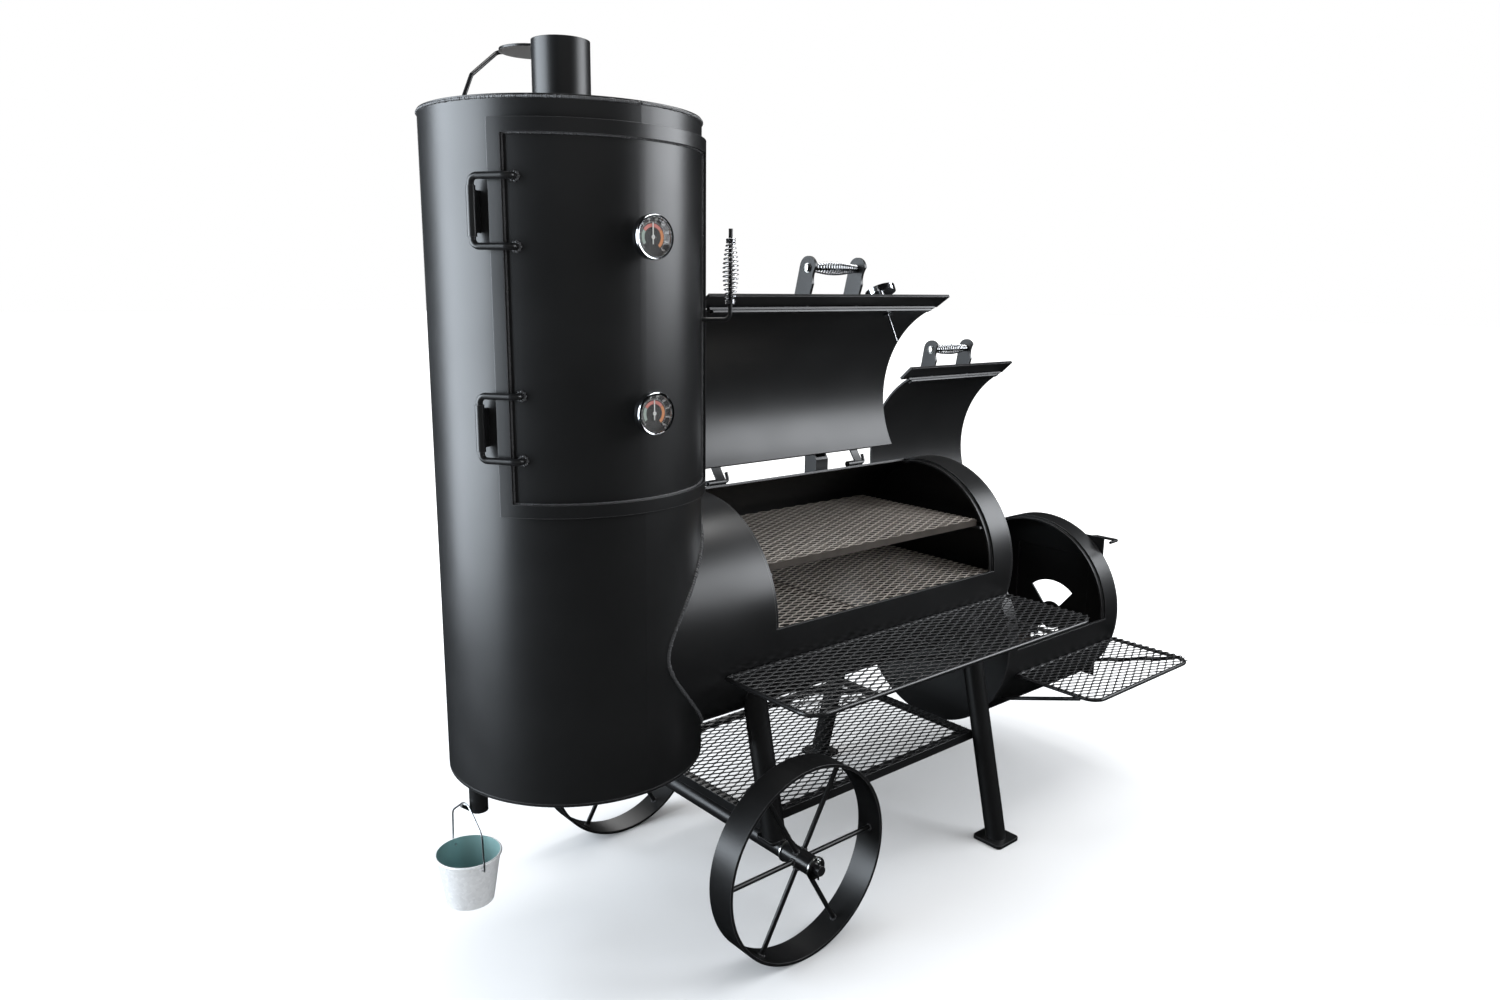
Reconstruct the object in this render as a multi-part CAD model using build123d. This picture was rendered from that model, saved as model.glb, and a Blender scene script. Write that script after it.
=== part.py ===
from build123d import *
from build123d.topology import SkipClean
from math import cos, degrees, hypot, radians, sin, sqrt, tan
import os

# Offset smoker: an upright smoking cabinet, a horizontal barrel and a lower firebox on a stand
# with two wheels. Millimetres, +Z up. X runs along the barrel towards the firebox, the front is
# -Y, and while the pieces are made x = y = 0 is the cabinet's axis and z = 0 is the ground.
# The whole is moved at the end so that the origin is under the middle of its box.

# ---- driving sizes -----------------------------------------------------------------------
WALL = 6.35                  # rolled plate and pipe wall
CABINET_R = 304.8            # 24 inch pipe
CABINET_BASE = 516.0
CABINET_TOP = 1993.0
BARREL_R = 298.5
BARREL_Z = 818.0             # height of the barrel's axis
BARREL_END = 1339.0
FIREBOX_R = 304.8
FIREBOX_Z = 543.0
FIREBOX_END = 1957.0
RUN = 0.05                   # radial clearance of a turning pin
GAP = 0.5                    # clearance of plates that swing past each other
KERF = 2.0                   # cut between a door or lid and its opening

# upright cabinet's door: angles from the front, towards the barrel
DOOR_HALF = 55.0
DOOR_LOW = 1178.0
DOOR_HIGH = 1936.0
FLANGE_OUTER = 58.0
FLANGE_INNER = 52.7
FLANGE_THICK = 9.5
FLANGE_OVER = 13.5           # how far the flange reaches past the opening, up and down
FLANGE_BAND = 28.0           # height of its top and bottom bands
DOOR_SWING = 110.0
HINGE_ANGLE = -63.4
HINGE_OUT = 23.0             # hinge pin's axis from the pipe's surface
HINGE_ROD_R = 7.0
HINGE_TUBE_R = 9.5
HINGE_ARM_ANGLE = -48.5
HINGE_BARS = [(1708.0, 1841.0), (1283.0, 1415.0)]
HINGE_BEND = 14.0

# dial thermometers
DIAL_R = 44.0
DIAL_DEEP = 18.0
DIAL_RIM = 5.0
DIAL_STEM_R = 7.0
DIAL_NUT_R = 13.0
DIAL_NUT = 8.0
DOOR_DIAL_STANDOFF = 27.0
DOOR_DIALS = [1731.0, 1378.0]
LID_DIAL_STANDOFF = 52.0
LID_DIAL_ANGLE = 172.5
LID_DIAL_X = 1075.0

# door latch
LATCH_ANGLE = 50.8
LATCH_Z = 1562.0
LATCH_ROD_R = 4.75
LATCH_ELBOW = 370.0          # radius of the elbow from the cabinet's axis
LATCH_TOP = 1763.0
LATCH_SPRING = (1595.0, 1743.0)
LATCH_CAM = 45.0
LATCH_CAM_OUT = 276.0

# chimney and its swinging damper
CHIMNEY_R = 63.5
CHIMNEY_WALL = 5.0
CHIMNEY_RISE = 157.0
DAMPER_PIVOT = (5.0, 74.0)
DAMPER_R = 72.0
DAMPER_THICK = 5.0
DAMPER_GAP = 1.0
DAMPER_PIN_R = 5.0
DAMPER_ROD_R = 4.75

# lids: angles about the axis, from the back over the top to the front
BARREL_OPEN = (387.0, 1249.0)
BARREL_REAR = 76.5
BARREL_HINGE = 69.0
BARREL_SWING = 109.0
FIREBOX_OPEN = (1388.0, 1882.0)
FIREBOX_REAR = 61.0
FIREBOX_HINGE = 53.7
FIREBOX_SWING = 117.0
LID_FRONT = 180.0
SKIRT_WIDE = 57.0
SKIRT_THICK = 8.0
SKIRT_OVER = 25.0            # how far the skirt runs past each end of a lid
REAR_BAR = 6.0
STRIP = 6.0                  # thickness of the seats and lips inside an opening
SEAT = 12.5                  # how far a seat reaches each side of an opening's end
LID_TUBE_R = 9.5
LID_PIN_R = 5.0
LID_TUBE = 30.0
BARREL_HINGE_X = [490.0, 1034.0]
FIREBOX_HINGE_X = [1440.0, 1760.0]
STRAP = 6.0
STOP = 50.0                  # square tube that an open lid leans on
STOP_WALL = 5.0
BARREL_STOP_X = 940.0
FIREBOX_STOP_X = 1640.0

# lid handles
GRIP_ANGLE = 184.2
HANDLE_BASE = (163.0, 177.7)
BARREL_GRIP_OUT = 98.5
BARREL_GRIP_X = (727.0, 915.0)
FIREBOX_GRIP_OUT = 84.0
FIREBOX_GRIP_X = (1510.0, 1695.0)
HANDLE_ROUND = 31.0
HANDLE_PLATE = 8.0
GRIP_ROD_R = 6.0
GRIP_SPRING_R = (10.0, 19.0)
BOLT_R = 10.0
BOLT_HEAD = 7.0

# cooking grates
GRATE_DEEP = 20.0
GRATE_BAR = 6.0
MESH = 2.0
UPPER_GRATE = (400.0, 1232.0, -238.0, 232.0, 968.0)
UPPER_SLIDE = 180.0
LOWER_GRATE_X = (400.0, 680.0, 1262.0)
LOWER_GRATE_HALF = 285.0
LOWER_GRATE_TOP = 814.0
RAIL = 6.0
CABINET_GRATES = [1270.0, 1480.0, 1690.0]
CABINET_GRATE = (238.0, -175.0, 170.0)
FIRE_GRATE_Z = 400.0

# firebox end door and its vent
THROAT = (150.0, 600.0, 760.0)
END_OPEN = (-185.0, 105.0, 340.0, 727.0)
END_DOOR = (-230.0, 150.0, 300.0, 800.0)
END_DOOR_THICK = 6.35
END_DOOR_SWING = 110.0
END_PIN_R = 6.0
VENT_Y = -40.0
VENT_Z = 476.0
VENT_R = (50.0, 130.0)
VENT_SPAN = 80.0
VENT_PLATE = 5.0

# stand
LEG_R = 30.15
LEG_WALL = 5.0
LEG_LEAN = 13.2
LEG_FOOT_Y = 386.0           # legs' axis at the ground
LEG_X = (370.0, 1219.0)
FOOT = 100.0
FOOT_THICK = 10.0
FOOT_CORNER = 12.0
AXLE_PLATE = 66.0
AXLE_PLATE_THICK = 8.0
WHEEL_R = 254.0
WHEEL_X = 384.0
WHEEL_WIDE = 78.0
WHEEL_BAR = 8.0
WHEEL_MID = 402.0            # middle of the rim from the centre line
SPOKES = 6
SPOKE_R = 6.35
HUB_R = 25.0
HUB = (357.0, 455.0)
AXLE_R = 12.7
AXLE_END = 478.0
AXLE_SLEEVE_R = 24.15
WASHER_R = 28.5
WASHER = 4.0
COTTER_R = 2.5

# shelves
SHELF_ROD_R = 6.0
SHELF_CORNER = 45.0
STAY_DROP = 90.0             # from a front shelf down to where its stays meet the shell
FRONT_SHELF = (232.0, 1335.0, -592.0, 733.0)
FIREBOX_SHELF = (1395.0, 1960.0, -580.0, 462.0)
BOTTOM_SHELF = (355.0, 1215.0, 316.0)
ANGLE_BAR = 25.0
ANGLE_THICK = 4.0

# drain and bucket
DRAIN = (-275.0, -20.0)
DRAIN_R = 21.0
DRAIN_WALL = 3.5
DRAIN_LOW = 450.0
HOOK_R = 4.0
HOOK_Z = 458.0
BUCKET = (-306.0, -20.0)
BUCKET_RIM_R = 73.0
BUCKET_BASE_R = 54.0
BUCKET_RIM_Z = 356.0
BUCKET_BASE_Z = 238.0
BUCKET_WALL = 1.2
BUCKET_BEAD = 3.0
BAIL_R = 2.0
EAR_DROP = 14.0
EAR_OUT = 5.0


# ---- shapes ------------------------------------------------------------------------------
def ring_sector(r_in, r_out, start, end):
    """A flat ring sector; the angles are in degrees from the plane's x direction."""
    outer = CenterArc((0, 0), r_out, start, end - start)
    inner = CenterArc((0, 0), r_in, start, end - start)
    sides = [Line(outer @ 0, inner @ 0), Line(outer @ 1, inner @ 1)]
    return make_face(Curve() + [outer, inner] + sides)


def along_x(sketch, x0, x1, axis_z):
    """Extrude a sketch drawn in y and z about an axis at height axis_z."""
    plane = Plane(origin=(x0, 0, axis_z), x_dir=(0, 1, 0), z_dir=(1, 0, 0))
    return extrude(plane * sketch, amount=x1 - x0)


def along_z(sketch, z0, z1):
    """Extrude a sketch up the cabinet; its angles start at the front and grow towards +X."""
    plane = Plane(origin=(0, 0, z0), x_dir=(0, -1, 0), z_dir=(0, 0, 1))
    return extrude(plane * sketch, amount=z1 - z0)


def block(x0, x1, y0, y1, z0, z1):
    return Pos((x0 + x1) / 2, (y0 + y1) / 2, (z0 + z1) / 2) * Box(x1 - x0, y1 - y0, z1 - z0)


def tube(start, end, r_out, r_in=0.0):
    """A round bar, or a pipe where r_in is given, from start to end."""
    run = Vector(*end) - Vector(*start)
    section = Circle(r_out)
    if r_in:
        section -= Circle(r_in)
    return extrude(Plane(origin=start, z_dir=run) * section, amount=run.length)


def bent_rod(points, radius, bend):
    path = FilletPolyline(*points, radius=bend)
    return sweep(Plane(origin=path @ 0, z_dir=path % 0) * Circle(radius), path=path)


def barrel_solid(radius, x0=0.0, x1=BARREL_END):
    return tube((x0, 0, BARREL_Z), (x1, 0, BARREL_Z), radius)


def firebox_solid(radius, x0=BARREL_END, x1=FIREBOX_END):
    return tube((x0, 0, FIREBOX_Z), (x1, 0, FIREBOX_Z), radius)


def cabinet_point(angle, radius, z):
    """A point at an angle from the cabinet's front, towards +X."""
    return (radius * sin(radians(angle)), -radius * cos(radians(angle)), z)


def spring_grip(start, end, bore):
    """The barrel-shaped envelope of a coiled spring grip on its rod."""
    run = Vector(*end) - Vector(*start)
    r_end, r_mid = GRIP_SPRING_R
    profile = ThreePointArc((r_end, 0), (r_mid, run.length / 2), (r_end, run.length))
    outline = [profile, Line((r_end, run.length), (bore, run.length)),
               Line((bore, run.length), (bore, 0)), Line((bore, 0), (r_end, 0))]
    solid = revolve(Plane.XZ * make_face(Curve() + outline), axis=Axis.Z)
    return Plane(origin=start, z_dir=run).location * solid


# ---- upright cabinet ---------------------------------------------------------------------
def vertical_shell():
    shell = along_z(Circle(CABINET_R) - Circle(CABINET_R - WALL), CABINET_BASE + WALL, CABINET_TOP - WALL)
    shell -= along_z(ring_sector(CABINET_R / 2, CABINET_R * 2, -DOOR_HALF, DOOR_HALF), DOOR_LOW, DOOR_HIGH)
    return [shell - barrel_solid(BARREL_R - WALL)]


def vertical_end_plates():
    top = along_z(Circle(CABINET_R) - Circle(CHIMNEY_R - CHIMNEY_WALL), CABINET_TOP - WALL, CABINET_TOP)
    bottom = along_z(Circle(CABINET_R), CABINET_BASE, CABINET_BASE + WALL)
    drain_hole = tube((*DRAIN, CABINET_BASE - 1), (*DRAIN, CABINET_BASE + 2 * WALL), DRAIN_R - DRAIN_WALL)
    return [top, bottom - drain_hole - barrel_solid(BARREL_R)]


CHIMNEY_TOP = CABINET_TOP + CHIMNEY_RISE


def chimney():
    return [tube((0, 0, CABINET_TOP), (0, 0, CHIMNEY_TOP), CHIMNEY_R, CHIMNEY_R - CHIMNEY_WALL)]


DAMPER_LOW = CHIMNEY_TOP + DAMPER_GAP
PIVOT_TUBE = (CHIMNEY_TOP - 55, CHIMNEY_TOP - 5)
PIVOT_TUBE_R = DAMPER_PIN_R + 4


def damper_pivot_sleeve():
    x, y = DAMPER_PIVOT
    low, high = PIVOT_TUBE
    sleeve = tube((x, y, low), (x, y, high), PIVOT_TUBE_R, DAMPER_PIN_R + RUN)
    web = block(x - 3, x + 3, 0, y, low + 5, high - 5)
    web -= tube((0, 0, low), (0, 0, high), CHIMNEY_R)
    return [sleeve + (web - tube((x, y, low), (x, y, high), DAMPER_PIN_R + 2))]


def damper():
    """Disc, pivot pin and bent rod handle, swung back clear of the flue."""
    x, y = DAMPER_PIVOT
    disc = tube((2 * x, 2 * y, DAMPER_LOW), (2 * x, 2 * y, DAMPER_LOW + DAMPER_THICK), DAMPER_R)
    pin = tube((x, y, PIVOT_TUBE[0] - 3), (x, y, DAMPER_LOW), DAMPER_PIN_R)
    rod_z = DAMPER_LOW + DAMPER_ROD_R
    level = [(2 * x - 0.555 * reach, 2 * y + 0.832 * reach, rod_z) for reach in (DAMPER_R - 2, DAMPER_R + 14)]
    points = [*level, (-113, 200, CABINET_TOP + 102), (-150, 200, CABINET_TOP + 14)]
    return [disc + pin + bent_rod(points, DAMPER_ROD_R, 10)]


SKIN_OUT = CABINET_R + GAP                     # door skin stands proud by the seal gap
DOOR_TRIM = degrees(KERF / CABINET_R)


def door_plate():
    skin = along_z(ring_sector(SKIN_OUT - WALL, SKIN_OUT, -DOOR_HALF + DOOR_TRIM, DOOR_HALF - DOOR_TRIM),
                   DOOR_LOW + KERF, DOOR_HIGH - KERF)
    inner = cabinet_point(LATCH_ANGLE, CABINET_R / 2, LATCH_Z)
    outer = cabinet_point(LATCH_ANGLE, CABINET_R * 2, LATCH_Z)
    holes = [tube(inner, outer, LATCH_ROD_R + RUN)]
    for z in DOOR_DIALS:
        holes.append(tube((0, -CABINET_R * 2, z), (0, 0, z), DIAL_STEM_R + RUN))
    with SkipClean():      # merging faces after each cut loses the earlier holes in a rolled plate
        for hole in holes:
            skin -= hole
    return [skin]


def door_flange():
    low, high = DOOR_LOW - FLANGE_OVER, DOOR_HIGH + FLANGE_OVER
    band = along_z(ring_sector(SKIN_OUT, SKIN_OUT + FLANGE_THICK, -FLANGE_OUTER, FLANGE_OUTER), low, high)
    window = along_z(ring_sector(CABINET_R / 2, CABINET_R * 2, -FLANGE_INNER, FLANGE_INNER),
                     low + FLANGE_BAND, high - FLANGE_BAND)
    return [band - window]


HINGE_R = CABINET_R + HINGE_OUT


def door_hinge_bars():
    """Two round bars bent to a U; the upright leg of each is the hinge pin."""
    bars = []
    skin = along_z(Circle(SKIN_OUT), DOOR_LOW, DOOR_HIGH)
    for low, high in HINGE_BARS:
        points = [cabinet_point(HINGE_ARM_ANGLE, SKIN_OUT - WALL, high),
                  cabinet_point(HINGE_ARM_ANGLE, HINGE_R, high),
                  cabinet_point(HINGE_ANGLE, HINGE_R, high),
                  cabinet_point(HINGE_ANGLE, HINGE_R, low),
                  cabinet_point(HINGE_ARM_ANGLE, HINGE_R, low),
                  cabinet_point(HINGE_ARM_ANGLE, SKIN_OUT - WALL, low)]
        bars.append(bent_rod(points, HINGE_ROD_R, HINGE_BEND) - skin)
    return bars


def door_hinge_sleeves():
    sleeves = []
    for low, high in HINGE_BARS:
        foot = cabinet_point(HINGE_ANGLE, HINGE_R, low + HINGE_BEND + 4)
        head = cabinet_point(HINGE_ANGLE, HINGE_R, high - HINGE_BEND - 4)
        web = Rot(0, 0, HINGE_ANGLE) * block(-4, 4, -HINGE_R, -CABINET_R / 2, foot[2] + 8, head[2] - 8)
        web -= along_z(Circle(CABINET_R), 0, CABINET_TOP)
        web -= tube(foot, head, HINGE_TUBE_R - 1)
        sleeves.append(web + tube(foot, head, HINGE_TUBE_R, HINGE_ROD_R + RUN))
    return sleeves


def dial(wall_out, wall_in, standoff):
    """A dial thermometer on +X: case with stem, nut and probe, and its face plate."""
    back = wall_out + standoff
    front = back + DIAL_DEEP
    floor = front - DIAL_DEEP + 5
    case = tube((back, 0, 0), (front, 0, 0), DIAL_R)
    case -= tube((floor, 0, 0), (front + 1, 0, 0), DIAL_R - DIAL_RIM)
    case += tube((wall_in - 8, 0, 0), (back, 0, 0), DIAL_STEM_R)
    case += tube((wall_out, 0, 0), (wall_out + DIAL_NUT, 0, 0), DIAL_NUT_R)
    case += tube((wall_in - 8, 0, 0), (wall_in - 2, 0, 0), DIAL_NUT_R)
    case += tube((wall_in - 90, 0, 0), (wall_in - 8, 0, 0), 3)
    case += tube((floor, 0, 0), (floor + 6, 0, 0), 1.0)
    face = tube((floor, 0, 0), (floor + 1.5, 0, 0), DIAL_R - DIAL_RIM) - tube((floor, 0, 0), (front, 0, 0), 1.2)
    needle = tube((floor + 3, 0, 0), (floor + 4.5, 0, 0), 4.0)
    needle += block(floor + 3, floor + 4, -1.2, 1.2, -14, 28)
    needle -= tube((floor, 0, 0), (front, 0, 0), 1.0 + RUN)
    return case, face, needle


def door_dials():
    pieces = [dial(SKIN_OUT, SKIN_OUT - WALL, DOOR_DIAL_STANDOFF) for z in DOOR_DIALS]
    return [[Pos(0, 0, z) * Rot(0, 0, -90) * piece for piece in group] for z, group in zip(DOOR_DIALS, pieces)]


def latch_rod():
    """Turning rod through the door, with a cam bar inside and an upright handle outside."""
    inner = cabinet_point(LATCH_ANGLE, LATCH_CAM_OUT - 8, LATCH_Z)
    elbow = cabinet_point(LATCH_ANGLE, LATCH_ELBOW, LATCH_Z)
    rod = bent_rod([inner, elbow, (elbow[0], elbow[1], LATCH_TOP)], LATCH_ROD_R, 14)
    cam = block(-9, 9, -LATCH_CAM_OUT, -LATCH_CAM_OUT + 6, LATCH_Z - LATCH_CAM, LATCH_Z + 9)
    return [rod + Rot(0, 0, LATCH_ANGLE) * cam]


def latch_spring():
    x, y, _ = cabinet_point(LATCH_ANGLE, LATCH_ELBOW, 0)
    return [spring_grip((x, y, LATCH_SPRING[0]), (x, y, LATCH_SPRING[1]), LATCH_ROD_R + 0.02)]


def cabinet_rails():
    """Pairs of flat bars inside the cabinet that its grates rest on."""
    half, y0, y1 = CABINET_GRATE
    inside = along_z(Circle(CABINET_R - WALL), CABINET_BASE, CABINET_TOP)
    rails = []
    for z in CABINET_GRATES:
        for side in (-1, 1):
            x0, x1 = sorted((side * (half - 8), side * CABINET_R))
            rails.append(block(x0, x1, y0, y1, z - GRATE_DEEP / 2 - RAIL, z - GRATE_DEEP / 2) & inside)
    return rails


def wire_grate(x0, x1, y0, y1, top, pitch):
    """A flat-bar frame with round wires across it, welded up as one piece."""
    low = top - GRATE_DEEP / 2
    frame = block(x0, x1, y0, y1, low, top) - block(x0 + GRATE_BAR, x1 - GRATE_BAR,
                                                    y0 + GRATE_BAR, y1 - GRATE_BAR, low - 1, top + 1)
    count = int((x1 - x0) / pitch)
    step = (x1 - x0) / count
    for i in range(1, count):
        x = x0 + i * step
        frame += tube((x, y0 + 1, top - 4), (x, y1 - 1, top - 4), 3)
    return frame


def cabinet_grates():
    half, y0, y1 = CABINET_GRATE
    return [wire_grate(-half, half, y0, y1, z, 34.0) for z in CABINET_GRATES]


# ---- drain and bucket --------------------------------------------------------------------
HOOK_RISE = 0.8                                # slope of the hook's outer half
HOOK_OUT = (8.0, 12.0)                         # how far it reaches each side of the bail
HOOK_TIP = (BUCKET[0] - HOOK_OUT[1], BUCKET[1], HOOK_Z + HOOK_RISE * sum(HOOK_OUT))
BAIL_TOP = HOOK_Z + HOOK_RISE * HOOK_OUT[0] + (HOOK_R + BAIL_R + GAP) * hypot(1, HOOK_RISE)
BAIL_FLAT = 14.0
BAIL_BEND = 28.0
EAR_Z = BUCKET_RIM_Z - EAR_DROP
EAR_Y = BUCKET_RIM_R + EAR_OUT


def drain_pipe():
    low = (*DRAIN, DRAIN_LOW)
    return [tube(low, (*DRAIN, CABINET_BASE), DRAIN_R, DRAIN_R - DRAIN_WALL)]


def bucket_hook():
    """Short rod welded to the drain pipe, rising outwards so that the bail can't slide off."""
    x, y = DRAIN
    start = (x, y, HOOK_Z - 8)
    points = [start, (BUCKET[0] + HOOK_OUT[0], y, HOOK_Z), HOOK_TIP]
    rod = bent_rod(points, HOOK_R, 8)
    return [rod - tube((x, y, DRAIN_LOW - 30), (x, y, CABINET_BASE), DRAIN_R)]


def bail():
    """Bent wire handle that hangs over the hook, with its ends turned in through the ears."""
    x, y = BUCKET
    shoulder = (BAIL_TOP + 2 * EAR_Z) / 3 + 42
    shape = [(x, y - EAR_Y - 3, EAR_Z), (x, y - EAR_Y + 2, shoulder), (x, y - BAIL_FLAT, BAIL_TOP),
             (x, y + BAIL_FLAT, BAIL_TOP), (x, y + EAR_Y - 2, shoulder), (x, y + EAR_Y + 3, EAR_Z)]
    wire = bent_rod(shape, BAIL_R, BAIL_BEND)
    for side in (-1, 1):
        wire += tube((x, y + side * (EAR_Y + 3), EAR_Z), (x, y + side * (BUCKET_RIM_R - 6), EAR_Z), BAIL_R)
        wire += Pos(x, y + side * (EAR_Y + 3), EAR_Z) * Sphere(BAIL_R)
    return [wire]


def bucket():
    x, y = BUCKET
    height = BUCKET_RIM_Z - BUCKET_BASE_Z
    outside = Solid.make_cone(BUCKET_BASE_R, BUCKET_RIM_R, height)
    inside = Solid.make_cone(BUCKET_BASE_R - BUCKET_WALL, BUCKET_RIM_R - BUCKET_WALL, height)
    pail = outside - Pos(0, 0, BUCKET_WALL) * inside
    bead = Pos(0, 0, height - BUCKET_BEAD) * Torus(BUCKET_RIM_R, BUCKET_BEAD)
    bead -= Pos(0, 0, height / 2) * Cylinder(BUCKET_RIM_R - BUCKET_WALL, 2 * height)
    pail += bead
    ear_z = height - EAR_DROP
    for side in (-1, 1):
        ear = tube((0, side * (BUCKET_RIM_R - 5), ear_z), (0, side * (BUCKET_RIM_R + 2), ear_z), 7)
        ear -= Solid.make_cone(BUCKET_BASE_R - BUCKET_WALL, BUCKET_RIM_R - BUCKET_WALL, height)
        pail += ear
    pail -= tube((0, -2 * BUCKET_RIM_R, ear_z), (0, 2 * BUCKET_RIM_R, ear_z), BAIL_R + 2 * RUN)
    return [Pos(x, y, BUCKET_BASE_Z) * pail]


# ---- barrel ------------------------------------------------------------------------------
def barrel_shell():
    pipe = along_x(Circle(BARREL_R) - Circle(BARREL_R - WALL), 0, BARREL_END - WALL, BARREL_Z)
    pipe -= along_z(Circle(CABINET_R), 0, CABINET_TOP)
    x0, x1 = BARREL_OPEN
    return [pipe - along_x(ring_sector(BARREL_R / 2, BARREL_R * 2, BARREL_REAR, LID_FRONT), x0, x1, BARREL_Z)]


def throat():
    half, low, high = THROAT
    return block(BARREL_END - 2 * WALL, BARREL_END + 2 * WALL, -half, half, low, high)


def throat_plates():
    """The barrel's end plate and the firebox's left plate, back to back, with one throat."""
    barrel_plate = barrel_solid(BARREL_R, BARREL_END - WALL, BARREL_END)
    firebox_plate = firebox_solid(FIREBOX_R, BARREL_END, BARREL_END + WALL)
    return [barrel_plate - throat(), firebox_plate - throat()]


def opening_trim(radius, rear, span, axis_z):
    """Curved seats inside both ends of a lid's opening, and the bar under its front edge."""
    inner = radius - WALL
    x0, x1 = span
    welded = ring_sector(inner - STRIP, inner, rear, LID_FRONT)
    under_lid = ring_sector(inner - STRIP, inner - GAP, rear, LID_FRONT)
    lip = ring_sector(inner - STRIP + GAP, inner, LID_FRONT + 0.3, LID_FRONT + 4)
    return [along_x(welded, x0 - SEAT, x0, axis_z) + along_x(under_lid, x0, x0 + SEAT, axis_z),
            along_x(welded, x1, x1 + SEAT, axis_z) + along_x(under_lid, x1 - SEAT, x1, axis_z),
            along_x(lip, x0 + 20, x1 - 20, axis_z)]


# ---- lids: every lid piece is made closed, then swung open about its hinge ------------------
class Lid:
    """The sizes of one lid, and the turn that opens it."""

    def __init__(self, radius, axis_z, span, rear, hinge, swing, hinge_x, grip_out, grip_x):
        self.radius, self.axis_z, self.span, self.rear = radius, axis_z, span, rear
        self.swing, self.hinge_x, self.grip_out, self.grip_x = swing, hinge_x, grip_out, grip_x
        reach = radius + LID_TUBE_R
        self.hinge_angle = hinge
        self.hinge_y = reach * cos(radians(hinge))
        self.hinge_z = axis_z + reach * sin(radians(hinge))

    def opened(self, piece):
        """Swing a closed piece back about the hinge."""
        about = Axis((0, self.hinge_y, self.hinge_z), (1, 0, 0))
        return piece.rotate(about, -self.swing)

    def at(self, angle, radius):
        """y and z of a point at an angle about the shell's axis."""
        return radius * cos(radians(angle)), self.axis_z + radius * sin(radians(angle))

    def solid(self, radius):
        x0, x1 = self.span
        return along_x(Circle(radius), x0 - 100, x1 + 100, self.axis_z)


MAIN_LID = Lid(BARREL_R, BARREL_Z, BARREL_OPEN, BARREL_REAR, BARREL_HINGE, BARREL_SWING,
               BARREL_HINGE_X, BARREL_GRIP_OUT, BARREL_GRIP_X)
FIREBOX_LID = Lid(FIREBOX_R, FIREBOX_Z, FIREBOX_OPEN, FIREBOX_REAR, FIREBOX_HINGE, FIREBOX_SWING,
                  FIREBOX_HINGE_X, FIREBOX_GRIP_OUT, FIREBOX_GRIP_X)


def lid_shell(lid, dial_x=None):
    trim = degrees(KERF / lid.radius)
    x0, x1 = lid.span
    curve = ring_sector(lid.radius - WALL, lid.radius, lid.rear + trim, LID_FRONT - trim)
    shell = along_x(curve, x0 + KERF, x1 - KERF, lid.axis_z)
    if dial_x:
        far = (dial_x, *lid.at(LID_DIAL_ANGLE, lid.radius * 2))
        shell -= tube((dial_x, 0, lid.axis_z), far, DIAL_STEM_R + RUN)
    return [lid.opened(shell)]


def closed_straps(lid):
    """Bars bent over the lid's back edge, each ending in a tube round the hinge pin."""
    straps = []
    for x in lid.hinge_x:
        x0 = x + LID_TUBE + 0.5
        x1 = x0 + LID_TUBE
        on_lid = ring_sector(lid.radius, lid.radius + STRAP, lid.rear + 1.5, lid.rear + 16)
        over_edge = ring_sector(lid.radius + 2 * GAP, lid.radius + STRAP, lid.hinge_angle, lid.rear + 2)
        bar = along_x(on_lid, x0, x1, lid.axis_z) + along_x(over_edge, x0, x1, lid.axis_z)
        start, end = (x0, lid.hinge_y, lid.hinge_z), (x1, lid.hinge_y, lid.hinge_z)
        bar -= tube(start, end, LID_TUBE_R - 1)
        knuckle = tube(start, end, LID_TUBE_R - GAP, LID_PIN_R + RUN)
        straps.append(bar + knuckle)
    return straps


def lid_straps(lid):
    return [lid.opened(strap) for strap in closed_straps(lid)]


def closed_skirt(lid):
    """Flat bar down the lid's front edge, flared a little, over the opening's lip."""
    x0, x1 = lid.span
    foot_y, foot_z = lid.at(LID_FRONT, lid.radius + SKIRT_THICK / 2)
    skirt = Box(x1 - x0 + 2 * SKIRT_OVER, SKIRT_THICK, SKIRT_WIDE)
    skirt = Pos((x0 + x1) / 2, foot_y - 7, foot_z - 12) * Rot(-14, 0, 0) * skirt
    return skirt - lid.solid(lid.radius)


def lid_skirt(lid):
    """The front bar, a stiffener behind it, and a rain strip along the back."""
    x0, x1 = lid.span
    skirt = closed_skirt(lid)
    stiffener = along_x(ring_sector(lid.radius - WALL - STRIP, lid.radius - WALL,
                                    LID_FRONT - 4, LID_FRONT - 1), x0 + 14, x1 - 14, lid.axis_z)
    strip = along_x(ring_sector(lid.radius, lid.radius + REAR_BAR, lid.rear + 0.6, lid.rear + 4),
                    x0 + KERF, x1 - KERF, lid.axis_z)
    for strap in closed_straps(lid):
        box = strap.bounding_box()
        strip -= block(box.min.X - 1, box.max.X + 1, 0, lid.radius, lid.axis_z, 2000)
    return [lid.opened(piece) for piece in [skirt, stiffener, *strip.solids()]]


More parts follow.
